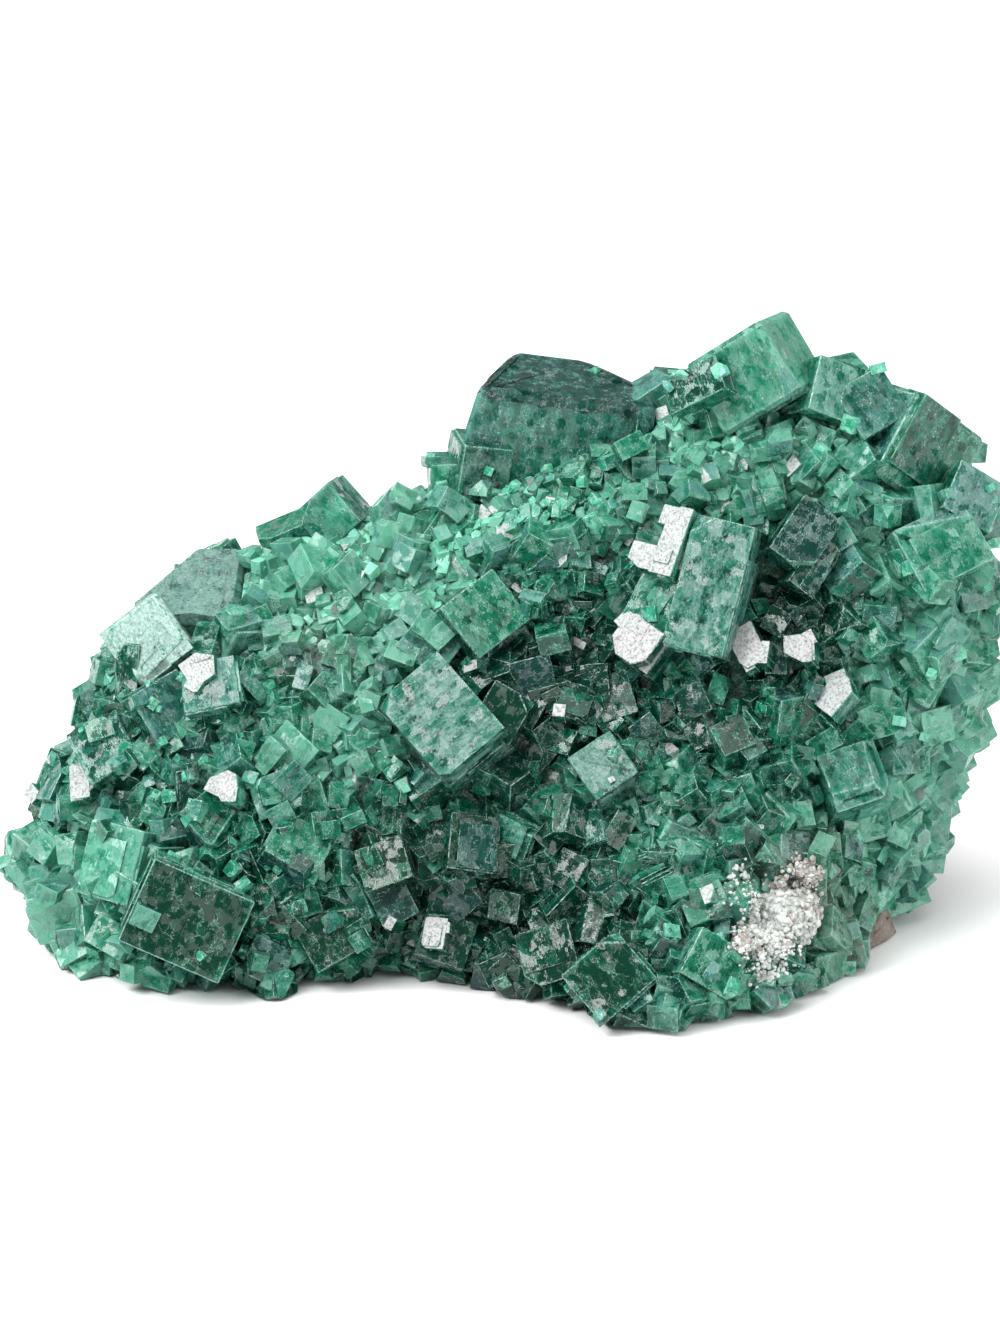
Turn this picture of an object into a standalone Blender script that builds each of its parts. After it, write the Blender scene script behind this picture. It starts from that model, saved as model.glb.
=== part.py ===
"""A green fluorite cluster grown on host rock, with a patch of white quartz druse.

Metres, +Z up. The crystal face looks towards -Y, and the host rock lies behind and below the crust.
The specimen stands on its flat cut base at z = 0, with the origin on that base.
"""

import math
import random

import bmesh
import bpy
from mathutils import Matrix, Vector, noise
from mathutils.bvhtree import BVHTree

MM = 0.001

# The view that the crystals are laid out in: a plane through the middle of the specimen, square to the eye
EYE_ELEVATION = math.radians(20.0)
EYE_DISTANCE = 800 * MM
VIEW_CENTRE = Vector((0.0, 0.0, 42.8 * MM))
TOWARD = Vector((0.0, -math.cos(EYE_ELEVATION), math.sin(EYE_ELEVATION)))
RIGHT = Vector((1.0, 0.0, 0.0))
UP = TOWARD.cross(RIGHT)
EYE = VIEW_CENTRE + TOWARD * EYE_DISTANCE

# Cross-sections of the mass under the crystals, in mm, from the left end to the right end:
# x, front foot y, back heel y, underside z, crest y, crest z, how far the front face bulges
SECTIONS = (
    (-75, -7, 9, 3, 2, 12, 1),
    (-70, -17, 19, 0, 2, 24, 2),
    (-60, -28, 28, 0, 4, 43, 3),
    (-48, -31, 34, 0, 6, 54, 4),
    (-34, -30, 38, 0, 7, 59, 6),
    (-20, -26, 40, 0, 8, 64, 8),
    (-6, -26, 41, 0, 9, 68, 6),
    (8, -34, 42, 0, 10, 73, 0),
    (22, -45, 42, 0, 11, 79, -6),
    (36, -42, 41, 0, 11, 84, -5),
    (48, -31, 39, 0, 11, 87, -1),
    (60, -12, 36, 0, 11, 82, 4),
    (68, -3, 30, 6, 10, 75, 5),
    (75, 1, 20, 36, 9, 64, 2),
)
SLICES = 22
FRONT_STEPS = 4
BACK_STEPS = 6
CREST_FRONT = 9.0
CREST_BACK = 10.0
CREST_DROP = 0.06
FOOT_RISE = 0.06
HEEL_RISE = 0.12
BACK_BULGE = 5.0
BASE_INSET = 3.0
ROUGHNESS = 1.6 * MM
ROUGHNESS_SCALE = 55.0
NOISE_SEED = 5

# The face where the fluorite crust meets the host rock: it dips towards the back as it rises
CONTACT_POINT = Vector((0.0, -5.0, 0.0)) * MM
CONTACT_NORMAL = Vector((-0.04, 0.87, -0.48)).normalized()
GAP = 0.3 * MM
POCKET_SWELL = 1.0 * MM

# Ledges and pits in the rock's outside, cut inwards so that the rock stays inside the lump
LEDGE_DEPTH = 3.2 * MM
LEDGE_SCALE = 62.0
PIT_DEPTH = 2.4 * MM
PIT_SCALE = 105.0
RELIEF_START = 2.0 * MM
RELIEF_FADE = 4.0 * MM
RELIEF_END = 66.0 * MM

# A lump of bare rock that shows under the crystals, low on the right
SPUR_CENTRE = Vector((57.5, -7.5, 3.0)) * MM
SPUR_RADII = (7.2, 9.0, 6.0)
SPUR_BUMPS = 1.0 * MM
SPUR_FINENESS = 2

# The white druse, seen low on the right of the crystal face
DRUSE_RIGHT, DRUSE_UP = 45.0, -40.5
DRUSE_RADII = (6.2, 4.6, 5.6)
DRUSE_SINK = 0.6
DRUSE_BUMPS = 1.1 * MM
DRUSE_FINENESS = 3

# Large crystals, each where the eye sees it. right, up: mm in the view plane. size: mm across, up and
# deep. turn: degrees to the right, upwards, and anticlockwise. stand: mm that its centre stands in
# front of the mass, or for a crystal behind the crest the world y of its centre, as back. cut: mm that its
# edges are cut back. slices: further flat faces seen edge-on, as (right, up) of a point of the face and
# the (right, up) direction that it looks towards.
LARGE_CRYSTALS = (
    dict(name="left_block", right=-54.6, up=3.2, size=(11, 11.5, 13), turn=(-14, 12, 38), stand=1.5, cut=0.8),
    dict(
        name="left_block_top", right=-50.0, up=8.2, size=(21, 14, 17), turn=(-6, -42, 0), stand=-3.5, cut=1.0,
        slices=(
            (-56.6, 11.8, -0.65, 0.76),
            (-59.4, 6.8, -0.96, 0.29),
            (-41.0, 18.0, 0.62, 0.78),
        ),
    ),
    dict(
        name="back_block", right=8.5, up=35.2, size=(31, 24, 18), turn=(-4, -26, -8), back=19, cut=1.4,
        slices=(
            (-7.0, 33.5, -0.95, 0.31),
            (-3.5, 44.4, -0.69, 0.73),
            (12.5, 49.4, 0.42, 0.91),
        ),
    ),
    dict(name="back_block_step", right=-3.5, up=32.5, size=(8, 9, 12), turn=(12, -20, -5), back=14),
    dict(name="apex_crystal", right=41.0, up=47.0, size=(15, 13, 14), turn=(-24, -12, 28), back=8, cut=0.8),
    dict(name="right_shoulder", right=64.5, up=35.0, size=(17, 15, 15), turn=(36, -14, -26), back=9, cut=0.8),
    dict(name="column", right=34.4, up=12.4, size=(10, 21, 12), turn=(-14, 4, -14), stand=4.0),
    dict(name="column_upper_plate", right=27.4, up=19.0, size=(6.5, 11.5, 8), turn=(-22, 18, -14), stand=5.5),
    dict(name="column_step", right=26.0, up=9.0, size=(9, 9, 9), turn=(-14, 8, -26), stand=3.5),
    dict(name="column_foot", right=22.6, up=3.0, size=(8, 7.5, 8), turn=(-20, 17, -32), stand=4.5),
    dict(name="dark_plate_upper", right=47.8, up=20.6, size=(7.5, 10.5, 7), turn=(14, 6, -36), stand=3.5),
    dict(name="dark_plate_lower", right=49.6, up=16.2, size=(5, 10, 7), turn=(16, 2, -36), stand=3.0),
    dict(name="central_cube", right=-8.6, up=-9.5, size=(16.5, 12.5, 13), turn=(-8, 16, -48), stand=2.5),
    dict(name="central_cube_side", right=0.5, up=-8.0, size=(7, 8, 8), turn=(-2, 10, -30), stand=3.0),
    dict(name="banded_cube", right=-3.6, up=7.4, size=(11, 10, 10), turn=(16, 12, 36), stand=1.5),
    dict(name="lower_left_cube", right=-50.0, up=-39.5, size=(17, 14, 14), turn=(4, -6, -24), stand=3.5),
    dict(name="left_spike", right=-74.0, up=-31.0, size=(9, 9, 9), turn=(-30, 16, 14), back=-2),
    dict(name="left_edge_cube", right=-69.0, up=-40.0, size=(8, 9, 8), turn=(-24, -4, 8), back=-7),
    dict(name="left_edge_upper", right=-68.0, up=-20.0, size=(9, 11, 9), turn=(-34, 10, -18), back=0),
    dict(name="left_prism", right=-58.5, up=-2.0, size=(4, 11, 6), turn=(-20, 0, -4), stand=2.5),
    dict(name="left_cube_a", right=-54.0, up=-7.0, size=(9, 9, 8), turn=(18, 8, 30), stand=1.5),
    dict(name="left_cube_b", right=-45.5, up=-4.0, size=(9, 8, 8), turn=(-12, 18, 12), stand=1.5),
    dict(name="left_cube_c", right=-62.0, up=-13.5, size=(9, 10, 9), turn=(-20, 14, 34), stand=1.0),
    dict(name="left_cube_d", right=-60.0, up=-31.5, size=(10, 12, 9), turn=(-28, 6, -12), stand=1.5),
    dict(name="left_cube_e", right=-46.5, up=-25.0, size=(9, 8, 8), turn=(20, 20, 38), stand=1.0),
    dict(name="right_lower_cube", right=56.0, up=-18.5, size=(10, 9.5, 9), turn=(8, 20, 18), stand=2.5),
    dict(name="right_cluster_a", right=69.5, up=18.0, size=(13, 11, 11), turn=(10, 14, 26), stand=2.0),
    dict(name="right_cluster_b", right=74.0, up=26.0, size=(9, 9, 9), turn=(24, 14, -30), back=2),
    dict(name="right_cluster_c", right=74.5, up=12.5, size=(9, 8, 9), turn=(30, 8, 10), back=2),
    dict(name="right_edge_a", right=72.0, up=2.0, size=(7, 12, 8), turn=(34, 0, -10), back=1),
    dict(name="right_edge_b", right=69.5, up=-9.0, size=(9, 9, 9), turn=(28, 12, 22), back=0),
    dict(name="right_edge_c", right=66.5, up=-27.0, size=(8, 11, 8), turn=(24, -6, -6), back=2),
    dict(name="right_edge_d", right=63.0, up=-36.0, size=(8, 7, 8), turn=(20, 6, 20), back=-1),
    dict(name="low_middle_cube", right=18.0, up=-50.0, size=(11, 10, 10), turn=(-8, 8, 42), stand=1.5),
    dict(name="low_middle_left", right=9.0, up=-46.5, size=(9, 9, 9), turn=(-20, 10, 18), stand=1.5),
    dict(name="low_right_cube", right=33.0, up=-47.5, size=(9, 8, 8), turn=(18, 4, -30), stand=1.0),
    dict(name="middle_cube_a", right=-5.0, up=-29.0, size=(8, 9, 8), turn=(14, 14, -8), stand=2.0),
    dict(name="middle_cube_b", right=-17.5, up=-32.0, size=(8, 7, 8), turn=(-16, 10, 20), stand=2.0),
    dict(name="middle_cube_c", right=-33.0, up=-30.0, size=(9, 8, 8), turn=(20, 24, -34), stand=1.5),
    dict(name="middle_cube_d", right=-26.0, up=-43.0, size=(10, 8, 8), turn=(-8, 4, 30), stand=1.5),
    dict(name="middle_cube_e", right=-9.0, up=-43.5, size=(8, 9, 8), turn=(10, 12, -20), stand=1.5),
    dict(name="frosted_cube", right=17.0, up=-17.0, size=(8, 8.5, 8), turn=(-10, 20, 36), stand=2.5),
    dict(name="ridge_cube", right=-26.5, up=24.5, size=(8, 8, 9), turn=(-14, -12, 40), back=12),
    dict(name="ridge_plate", right=-33.0, up=21.5, size=(11, 4, 9), turn=(8, -18, 24), back=13),
    dict(name="ridge_step", right=-8.5, up=30.5, size=(6, 6, 8), turn=(6, -18, 2), back=13),
    dict(name="saddle_cube", right=24.5, up=42.5, size=(7, 7, 9), turn=(20, -14, 34), back=17),
    dict(name="saddle_plate", right=29.5, up=42.0, size=(12, 8, 11), turn=(-8, -18, -6), back=20),
    dict(name="crest_cube_a", right=52.0, up=43.5, size=(9, 9, 9), turn=(26, 6, -18), back=6),
    dict(name="crest_cube_b", right=58.5, up=41.0, size=(9, 9, 9), turn=(10, 14, 30), back=6),
    dict(name="crest_slab", right=33.0, up=44.0, size=(10, 6, 9), turn=(-30, 12, 24), back=5),
    dict(name="back_rim_a", right=-46.0, up=14.0, size=(9, 8, 10), turn=(-30, -24, 20), back=14),
    dict(name="back_rim_b", right=54.0, up=43.5, size=(10, 9, 10), turn=(20, -26, 14), back=16),
    dict(name="left_pale_lump", right=-63.5, up=-5.5, size=(6, 7, 7), turn=(-36, -10, 24), back=4, cut=1.4),
    dict(name="right_pale_lump", right=77.0, up=23.5, size=(7, 9, 7), turn=(30, -6, 16), back=5, cut=1.4),
    dict(name="glint_left", right=-46.8, up=-0.8, size=(6.2, 5.4, 5), turn=(-20, 17, 38), stand=4.5),
    dict(name="glint_far_left", right=-65.6, up=-19.0, size=(4.6, 6.4, 5), turn=(-20, 17, 10), stand=3.5),
    dict(name="glint_low_left", right=-43.2, up=-19.3, size=(5.6, 4.8, 5), turn=(-20, 17, -24), stand=3.5),
    dict(name="glint_right_a", right=40.0, up=2.6, size=(5.0, 7.4, 5), turn=(-20, 17, 30), stand=4.0),
    dict(name="glint_right_b", right=48.0, up=2.2, size=(5.0, 5.0, 5), turn=(-17, 15, 6), stand=3.5),
    dict(name="glint_right_c", right=54.0, up=-5.0, size=(4.6, 7.0, 5), turn=(-20, 17, -36), stand=3.5),
    dict(name="glint_right_edge", right=66.6, up=-19.2, size=(5.6, 6.4, 5), turn=(-20, 17, -36), back=-4),
    dict(name="glint_low_middle", right=-9.6, up=-43.0, size=(4.2, 5.4, 5), turn=(-20, 17, -4), stand=4.5),
)

# Smaller crystals that cover the crust between the large ones
FILLER_SEED = 14
FILLER_COUNT = 160
FILLER_EDGES = (5.6, 9.4)
FILLER_SPACING = 0.80
FILLER_TRIES = 9000
FLAT_CUT_CLEARANCE = 1.0 * MM
CRUST_MARGIN = 1.5 * MM
CORNER_OUT_SHARE = 0.7

COLOURS = {
    "fluorite_crystals": ((0.030, 0.235, 0.135), 0.18),
    "host_rock": ((0.235, 0.195, 0.170), 0.85),
    "quartz_druse": ((0.780, 0.800, 0.760), 0.50),
}


def clear_scene():
    """Removes every object of the startup scene."""
    for obj in list(bpy.data.objects):
        bpy.data.objects.remove(obj)


def smooth_between(rows, x):
    """The row of SECTIONS values at x, eased between the rows on either side."""
    for low, high in zip(rows, rows[1:]):
        if x <= high[0]:
            share = (x - low[0]) / (high[0] - low[0])
            share = share * share * (3 - 2 * share) * 0.5 + share * 0.5
            return [a + (b - a) * share for a, b in zip(low, high)]
    return list(rows[-1])


def bulged(start, end, share, bulge):
    """A point between two (y, z) points, pushed out square to the line by a half-wave bulge."""
    along = (end - start).normalized()
    outward = Vector((-along.y, along.x))
    return start.lerp(end, share) + outward * bulge * math.sin(math.pi * share)


def ring_of(section):
    """The closed (y, z) outline of one cross-section in mm, from the heel forward, up and back over."""
    _, foot, heel, underside, crest_y, crest_z, bulge = section
    height = crest_z - underside
    front_foot = Vector((foot, underside + FOOT_RISE * height))
    front_top = Vector((crest_y - CREST_FRONT, crest_z - CREST_DROP * height))
    back_top = Vector((crest_y + CREST_BACK, crest_z - CREST_DROP * height))
    back_heel = Vector((heel, underside + HEEL_RISE * height))
    reach = min(BASE_INSET, 0.2 * (heel - foot))
    ring = [
        Vector((heel - reach, underside)),
        Vector(((foot + heel) / 2, underside)),
        Vector((foot + reach, underside)),
    ]
    ring += [bulged(front_foot, front_top, i / FRONT_STEPS, bulge) for i in range(FRONT_STEPS + 1)]
    ring.append(Vector((crest_y, crest_z)))
    ring += [bulged(back_top, back_heel, i / BACK_STEPS, BACK_BULGE) for i in range(BACK_STEPS + 1)]
    return ring


def roughened(point):
    """The point moved by seeded noise; the flat cut base stays flat."""
    if point.z < 0.2 * MM:
        return point
    push = noise.noise_vector(point * ROUGHNESS_SCALE) + 0.5 * noise.noise_vector(point * ROUGHNESS_SCALE * 2.3)
    return point + push * ROUGHNESS


def mass_bmesh():
    """The whole lump, rock and crust together, lofted through the cross-sections."""
    bm = bmesh.new()
    first, last = SECTIONS[0][0], SECTIONS[-1][0]
    rings = []
    for i in range(SLICES):
        x = first + (last - first) * i / (SLICES - 1)
        section = smooth_between(SECTIONS, x)
        points = [Vector((x, p.x, p.y)) * MM for p in ring_of(section)]
        rings.append([bm.verts.new(roughened(p)) for p in points])
    for ring, following in zip(rings, rings[1:]):
        for j, vert in enumerate(ring):
            k = (j + 1) % len(ring)
            bm.faces.new((vert, ring[k], following[k], following[j]))
    bm.faces.new(rings[0][::-1])
    bm.faces.new(rings[-1])
    bmesh.ops.recalc_face_normals(bm, faces=bm.faces)
    bmesh.ops.triangulate(bm, faces=bm.faces)
    return bm


def behind_contact(bm, shift):
    """Keeps what lies on the rock's side of the contact face, moved by shift along its normal."""
    cut = bmesh.ops.bisect_plane(
        bm,
        geom=bm.verts[:] + bm.edges[:] + bm.faces[:],
        plane_co=CONTACT_POINT + CONTACT_NORMAL * shift,
        plane_no=CONTACT_NORMAL,
        clear_inner=True,
    )
    edges = [e for e in cut["geom_cut"] if isinstance(e, bmesh.types.BMEdge)]
    bmesh.ops.edgenet_fill(bm, edges=edges)
    bmesh.ops.triangulate(bm, faces=bm.faces)
    bmesh.ops.recalc_face_normals(bm, faces=bm.faces)


def object_from(bm, name):
    """A new scene object that holds the bmesh."""
    mesh = bpy.data.meshes.new(name)
    bm.to_mesh(mesh)
    bm.free()
    obj = bpy.data.objects.new(name, mesh)
    bpy.context.scene.collection.objects.link(obj)
    return obj


def view_point(right, up):
    """The point of the view plane at (right, up) mm."""
    return VIEW_CENTRE + (RIGHT * right + UP * up) * MM


def seen_at(right, up, mass_tree):
    """Where the eye's ray through (right, up) meets the mass, or None if it misses."""
    ray = (view_point(right, up) - EYE).normalized()
    return mass_tree.ray_cast(EYE, ray)[0]


def at_world_y(right, up, y):
    """Where the eye's ray through (right, up) reaches the world y, in metres."""
    ray = (view_point(right, up) - EYE).normalized()
    return EYE + ray * ((y - EYE.y) / ray.y)


def view_turn(yaw, pitch, roll):
    """The rotation of a crystal whose front face is turned from the eye by these degrees."""
    facing = Matrix((RIGHT, UP, TOWARD)).transposed()
    spin = Matrix.Rotation(math.radians(roll), 3, "Z")
    side = Matrix.Rotation(math.radians(yaw), 3, "Y")
    tilt = Matrix.Rotation(math.radians(-pitch), 3, "X")
    return facing @ side @ tilt @ spin


def slice_seen_edge_on(bm, right, up, along_right, along_up):
    """Cuts a closed shape with a plane that the eye sees edge-on through (right, up), and closes it again."""
    across = RIGHT * along_right + UP * along_up
    ray = view_point(right, up) - EYE
    normal = (across - ray * (across.dot(ray) / ray.length_squared)).normalized()
    cut = bmesh.ops.bisect_plane(
        bm,
        geom=bm.verts[:] + bm.edges[:] + bm.faces[:],
        plane_co=EYE,
        plane_no=normal,
        clear_outer=True,
    )
    rim = [e for e in cut["geom_cut"] if isinstance(e, bmesh.types.BMEdge)]
    bmesh.ops.contextual_create(bm, geom=rim)
    bmesh.ops.recalc_face_normals(bm, faces=bm.faces)


def add_cuboid(bm, centre, turn, size_mm, cut_mm=0.0, slices=()):
    """Adds one crystal, a box with flat faces, its slices and its edges cut back by cut_mm, to the bmesh."""
    scale = Matrix.Diagonal((*(s * MM for s in size_mm), 1.0))
    bmesh.ops.create_cube(bm, size=1.0, matrix=Matrix.Translation(centre) @ turn.to_4x4() @ scale)
    for slice_values in slices:
        slice_seen_edge_on(bm, *slice_values)
    if cut_mm:
        bmesh.ops.bevel(
            bm, geom=bm.edges[:], offset=cut_mm * MM, segments=1, affect="EDGES", clamp_overlap=True,
        )


def large_crystal_places(mass_tree):
    """(centre, rotation, size in mm, edge cut in mm, slices) of each large crystal."""
    places = []
    for crystal in LARGE_CRYSTALS:
        if "back" in crystal:
            centre = at_world_y(crystal["right"], crystal["up"], crystal["back"] * MM)
        else:
            centre = seen_at(crystal["right"], crystal["up"], mass_tree) + TOWARD * crystal["stand"] * MM
        shape = (crystal["size"], crystal.get("cut", 0.0), crystal.get("slices", ()))
        places.append((centre, view_turn(*crystal["turn"]), *shape))
    return places


def random_turn(rng, outward):
    """A crystal's rotation with a corner, or less often a face, roughly along the outward direction."""
    lean = 0.45 if rng.random() < CORNER_OUT_SHARE else 0.2
    own = Vector((1.0, 1.0, 1.0)) if lean > 0.3 else Vector((0.0, 0.0, 1.0))
    own = (own.normalized() + Vector([rng.uniform(-lean, lean) for _ in range(3)])).normalized()
    spin = Matrix.Rotation(rng.uniform(0, 2 * math.pi), 3, outward)
    return spin @ own.rotation_difference(outward).to_matrix()


def filler_places(bm, taken, bare):
    """(centre, rotation, size in mm, edge cut) of each smaller crystal, thrown over the crust as seeded darts."""
    rng = random.Random(FILLER_SEED)
    faces = [f for f in bm.faces if f.normal.z > -0.8]
    areas = [f.calc_area() for f in faces]
    kept = [(centre, 0.42 * min(size[:2])) for centre, _, size, _, _ in taken] + bare
    places = []
    for _ in range(FILLER_TRIES):
        if len(places) >= FILLER_COUNT:
            break
        face = rng.choices(faces, areas)[0]
        a, b, c = [v.co for v in face.verts]
        u, v = sorted((rng.random(), rng.random()))
        point = a * u + b * (v - u) + c * (1 - v)
        edge = rng.uniform(*FILLER_EDGES)
        into_rock = (point - CONTACT_POINT).dot(CONTACT_NORMAL)
        if into_rock > -CRUST_MARGIN or point.z < FLAT_CUT_CLEARANCE:
            continue
        if any((point - other).length < (reach + 0.42 * edge) * MM for other, reach in kept):
            continue
        outward = (face.normal + 0.35 * noise.noise_vector(point * 90)).normalized()
        centre = point + outward * edge * rng.uniform(-0.12, 0.12) * MM
        size = [edge * rng.uniform(0.8, 1.15) for _ in range(3)]
        kept.append((point, edge * (FILLER_SPACING - 0.42)))
        places.append((centre, random_turn(rng, outward), size, 0.0))
    return places


def helper(obj):
    """Marks an object that only shapes others."""
    obj.hide_render = True
    obj.display_type = "WIRE"
    return obj


def add_boolean(obj, name, operation, other):
    """Puts an exact Boolean with one object, or with a collection of them, on obj."""
    modifier = obj.modifiers.new(name, "BOOLEAN")
    modifier.operation = operation
    modifier.solver = "EXACT"
    if isinstance(other, bpy.types.Collection):
        modifier.operand_type = "COLLECTION"
        modifier.collection = other
    else:
        modifier.object = other


def crystal_collection(places):
    """Every crystal as its own helper box, in one collection for a single union."""
    collection = bpy.data.collections.new("crystal_shapes")
    bpy.context.scene.collection.children.link(collection)
    for i, place in enumerate(places):
        bm = bmesh.new()
        add_cuboid(bm, *place)
        obj = helper(object_from(bm, f"crystal_shape_{i:03d}"))
        bpy.context.scene.collection.objects.unlink(obj)
        collection.objects.link(obj)
    collection.hide_render = True
    return collection


def lump(name, centre, turn, radii_mm, bumps, fineness, extra):
    """A bumpy egg-shaped lump, with all its radii larger by extra."""
    bm = bmesh.new()
    bmesh.ops.create_icosphere(bm, subdivisions=fineness, radius=1.0)
    for vert in bm.verts:
        direction = vert.co.normalized()
        bump = noise.noise(direction * 2.6) * bumps
        radii = Vector([r * MM + bump + extra for r in radii_mm])
        vert.co = centre + turn @ (direction * radii)
    return object_from(bm, name)


def druse_centre(mass_tree):
    """The middle of the quartz patch, sunk a little into the crust."""
    return seen_at(DRUSE_RIGHT, DRUSE_UP, mass_tree) - TOWARD * DRUSE_SINK * MM


def druse_object(name, mass_tree, extra):
    """The patch of white quartz, or with extra above 0 the slightly larger pocket that it sits in."""
    centre = druse_centre(mass_tree)
    return lump(name, centre, view_turn(10, 0, 20), DRUSE_RADII, DRUSE_BUMPS, DRUSE_FINENESS, extra)


def rock_spur(name, extra):
    """The lump of rock that shows under the crystals, or with extra above 0 the space that it takes up."""
    return helper(lump(name, SPUR_CENTRE, Matrix.Identity(3), SPUR_RADII, SPUR_BUMPS, SPUR_FINENESS, extra))


def floor_box(name):
    """Everything under the flat cut base."""
    bm = bmesh.new()
    add_cuboid(bm, Vector((0, 0, -25 * MM)), Matrix.Identity(3), (300, 300, 50))
    return helper(object_from(bm, name))


def give_material(obj):
    """One material for the node, named after it."""
    colour, roughness = COLOURS[obj.name]
    material = bpy.data.materials.new(obj.name)
    material.use_nodes = True
    shader = material.node_tree.nodes["Principled BSDF"]
    shader.inputs["Base Color"].default_value = (*colour, 1)
    shader.inputs["Roughness"].default_value = roughness
    shader.inputs["Metallic"].default_value = 0.0
    obj.data.materials.append(material)


def relief_share(point):
    """How much of the rock's relief a point takes: none on the flat base, near the crust or at the thin ends."""
    if point.z < 0.2 * MM:
        return 0.0
    behind = (point - CONTACT_POINT).dot(CONTACT_NORMAL) - RELIEF_START
    nearest = min(behind, RELIEF_END - abs(point.x))
    return min(1.0, max(0.0, nearest / RELIEF_FADE))


def weather(bm):
    """Cuts ledges and pits into the lump where it is bare rock."""
    bm.normal_update()
    moved = []
    for vert in bm.verts:
        ledge = noise.cell(vert.co * LEDGE_SCALE) * LEDGE_DEPTH
        pit = max(0.0, noise.noise(vert.co * PIT_SCALE)) * PIT_DEPTH
        moved.append(vert.co - vert.normal * (ledge + pit) * relief_share(vert.co))
    for vert, place in zip(bm.verts, moved):
        vert.co = place


def build_rock():
    """The host rock behind the contact face, with its spur."""
    bm = mass_bmesh()
    weather(bm)
    behind_contact(bm, 0.0)
    rock = object_from(bm, "host_rock")
    add_boolean(rock, "spur", "UNION", rock_spur("spur_shape", 0.0))
    add_boolean(rock, "cut_base", "DIFFERENCE", floor_box("below_rock"))
    return rock


def rock_pocket():
    """The rock's space in the crust, a little larger than the rock all round."""
    bm = mass_bmesh()
    bm.normal_update()
    moved = [v.co + v.normal * POCKET_SWELL for v in bm.verts]
    for vert, place in zip(bm.verts, moved):
        vert.co = place
    behind_contact(bm, -GAP)
    return helper(object_from(bm, "rock_pocket"))


def shells_of(bm):
    """The bmesh's connected shells, each a list of faces."""
    waiting, shells = set(bm.faces), []
    while waiting:
        shell, edge_of_shell = [], [waiting.pop()]
        while edge_of_shell:
            face = edge_of_shell.pop()
            shell.append(face)
            for near in {f for e in face.edges for f in e.link_faces} & waiting:
                waiting.remove(near)
                edge_of_shell.append(near)
        shells.append(shell)
    return shells


def outer_shell(obj):
    """obj with its modifiers applied, less the sealed pockets between crystals and any loose chip."""
    graph = bpy.context.evaluated_depsgraph_get()
    bm = bmesh.new()
    bm.from_mesh(obj.evaluated_get(graph).to_mesh())
    keep = max(shells_of(bm), key=len)
    kept = set(keep)
    bmesh.ops.delete(bm, geom=[f for f in bm.faces if f not in kept], context="FACES")
    obj.modifiers.clear()
    bm.to_mesh(obj.data)
    bm.free()


def build_crystals(mass_tree):
    """The crust with all its crystals, one solid that grew as one piece."""
    mass = mass_bmesh()
    places = large_crystal_places(mass_tree)
    bare = [(SPUR_CENTRE, max(SPUR_RADII)), (druse_centre(mass_tree), max(DRUSE_RADII))]
    places += filler_places(mass, places, bare)
    crystals = object_from(mass, "fluorite_crystals")
    add_boolean(crystals, "grow_crystals", "UNION", crystal_collection(places))
    add_boolean(crystals, "cut_base", "DIFFERENCE", floor_box("below_crystals"))
    add_boolean(crystals, "leave_rock", "DIFFERENCE", rock_pocket())
    add_boolean(crystals, "leave_spur", "DIFFERENCE", rock_spur("spur_space", GAP))
    pocket = helper(druse_object("druse_pocket", mass_tree, GAP))
    add_boolean(crystals, "leave_druse", "DIFFERENCE", pocket)
    bpy.context.view_layer.update()
    outer_shell(crystals)
    return crystals


def main():
    """Builds the three pieces of the specimen."""
    clear_scene()
    noise.seed_set(NOISE_SEED)
    bm = mass_bmesh()
    mass_tree = BVHTree.FromBMesh(bm)
    bm.free()
    pieces = [
        build_crystals(mass_tree),
        build_rock(),
        druse_object("quartz_druse", mass_tree, 0.0),
    ]
    for piece in pieces:
        give_material(piece)


main()
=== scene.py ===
"""Looks of a green fluorite cluster: its crystals, host rock, white quartz, stage and light.

Metres, +Z up. The crystal face looks towards -Y, and the flat cut base is at z = 0. The lump and the large
crystals repeat the sizes and rules of the solids, so that each visible piece lies on its solid.
"""

import logging
import math
import random
from dataclasses import dataclass, field, replace
from enum import Enum
from functools import reduce
from itertools import product
from typing import Iterable, Optional, Sequence, Union

import bmesh
import bpy
from mathutils import Euler, Matrix, Vector, noise
from mathutils.bvhtree import BVHTree


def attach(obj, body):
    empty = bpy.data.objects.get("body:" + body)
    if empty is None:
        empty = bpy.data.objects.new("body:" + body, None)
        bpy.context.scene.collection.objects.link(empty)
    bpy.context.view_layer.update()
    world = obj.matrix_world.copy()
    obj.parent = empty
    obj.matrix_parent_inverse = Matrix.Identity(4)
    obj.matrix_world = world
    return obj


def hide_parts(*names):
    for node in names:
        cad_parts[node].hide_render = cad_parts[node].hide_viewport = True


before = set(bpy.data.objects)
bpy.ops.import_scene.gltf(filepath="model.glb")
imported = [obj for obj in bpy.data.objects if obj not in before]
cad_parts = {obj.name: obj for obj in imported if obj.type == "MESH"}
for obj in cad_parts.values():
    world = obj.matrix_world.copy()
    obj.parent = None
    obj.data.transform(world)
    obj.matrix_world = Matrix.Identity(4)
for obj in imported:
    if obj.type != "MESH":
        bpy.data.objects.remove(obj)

MM = 0.001
NOISE_SEED = 5
ROOT = "root"
BASE_TOUCH = 0.2 * MM

Triple = tuple[float, float, float]
Socket = bpy.types.NodeSocket
Value = Union[float, Sequence[float], Socket]
Inputs = dict[Union[str, int], Value]

log = logging.getLogger("fluorite")


def spot_on(face: bmesh.types.BMFace, rng: random.Random) -> Vector:
    """A random point of a triangle.

    Args:
        face: The triangle.
        rng: The source of the point.

    Returns:
        The point.
    """
    a, b, c = [v.co for v in face.verts]
    u, v = sorted((rng.random(), rng.random()))
    return a * u + b * (v - u) + c * (1 - v)


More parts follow.
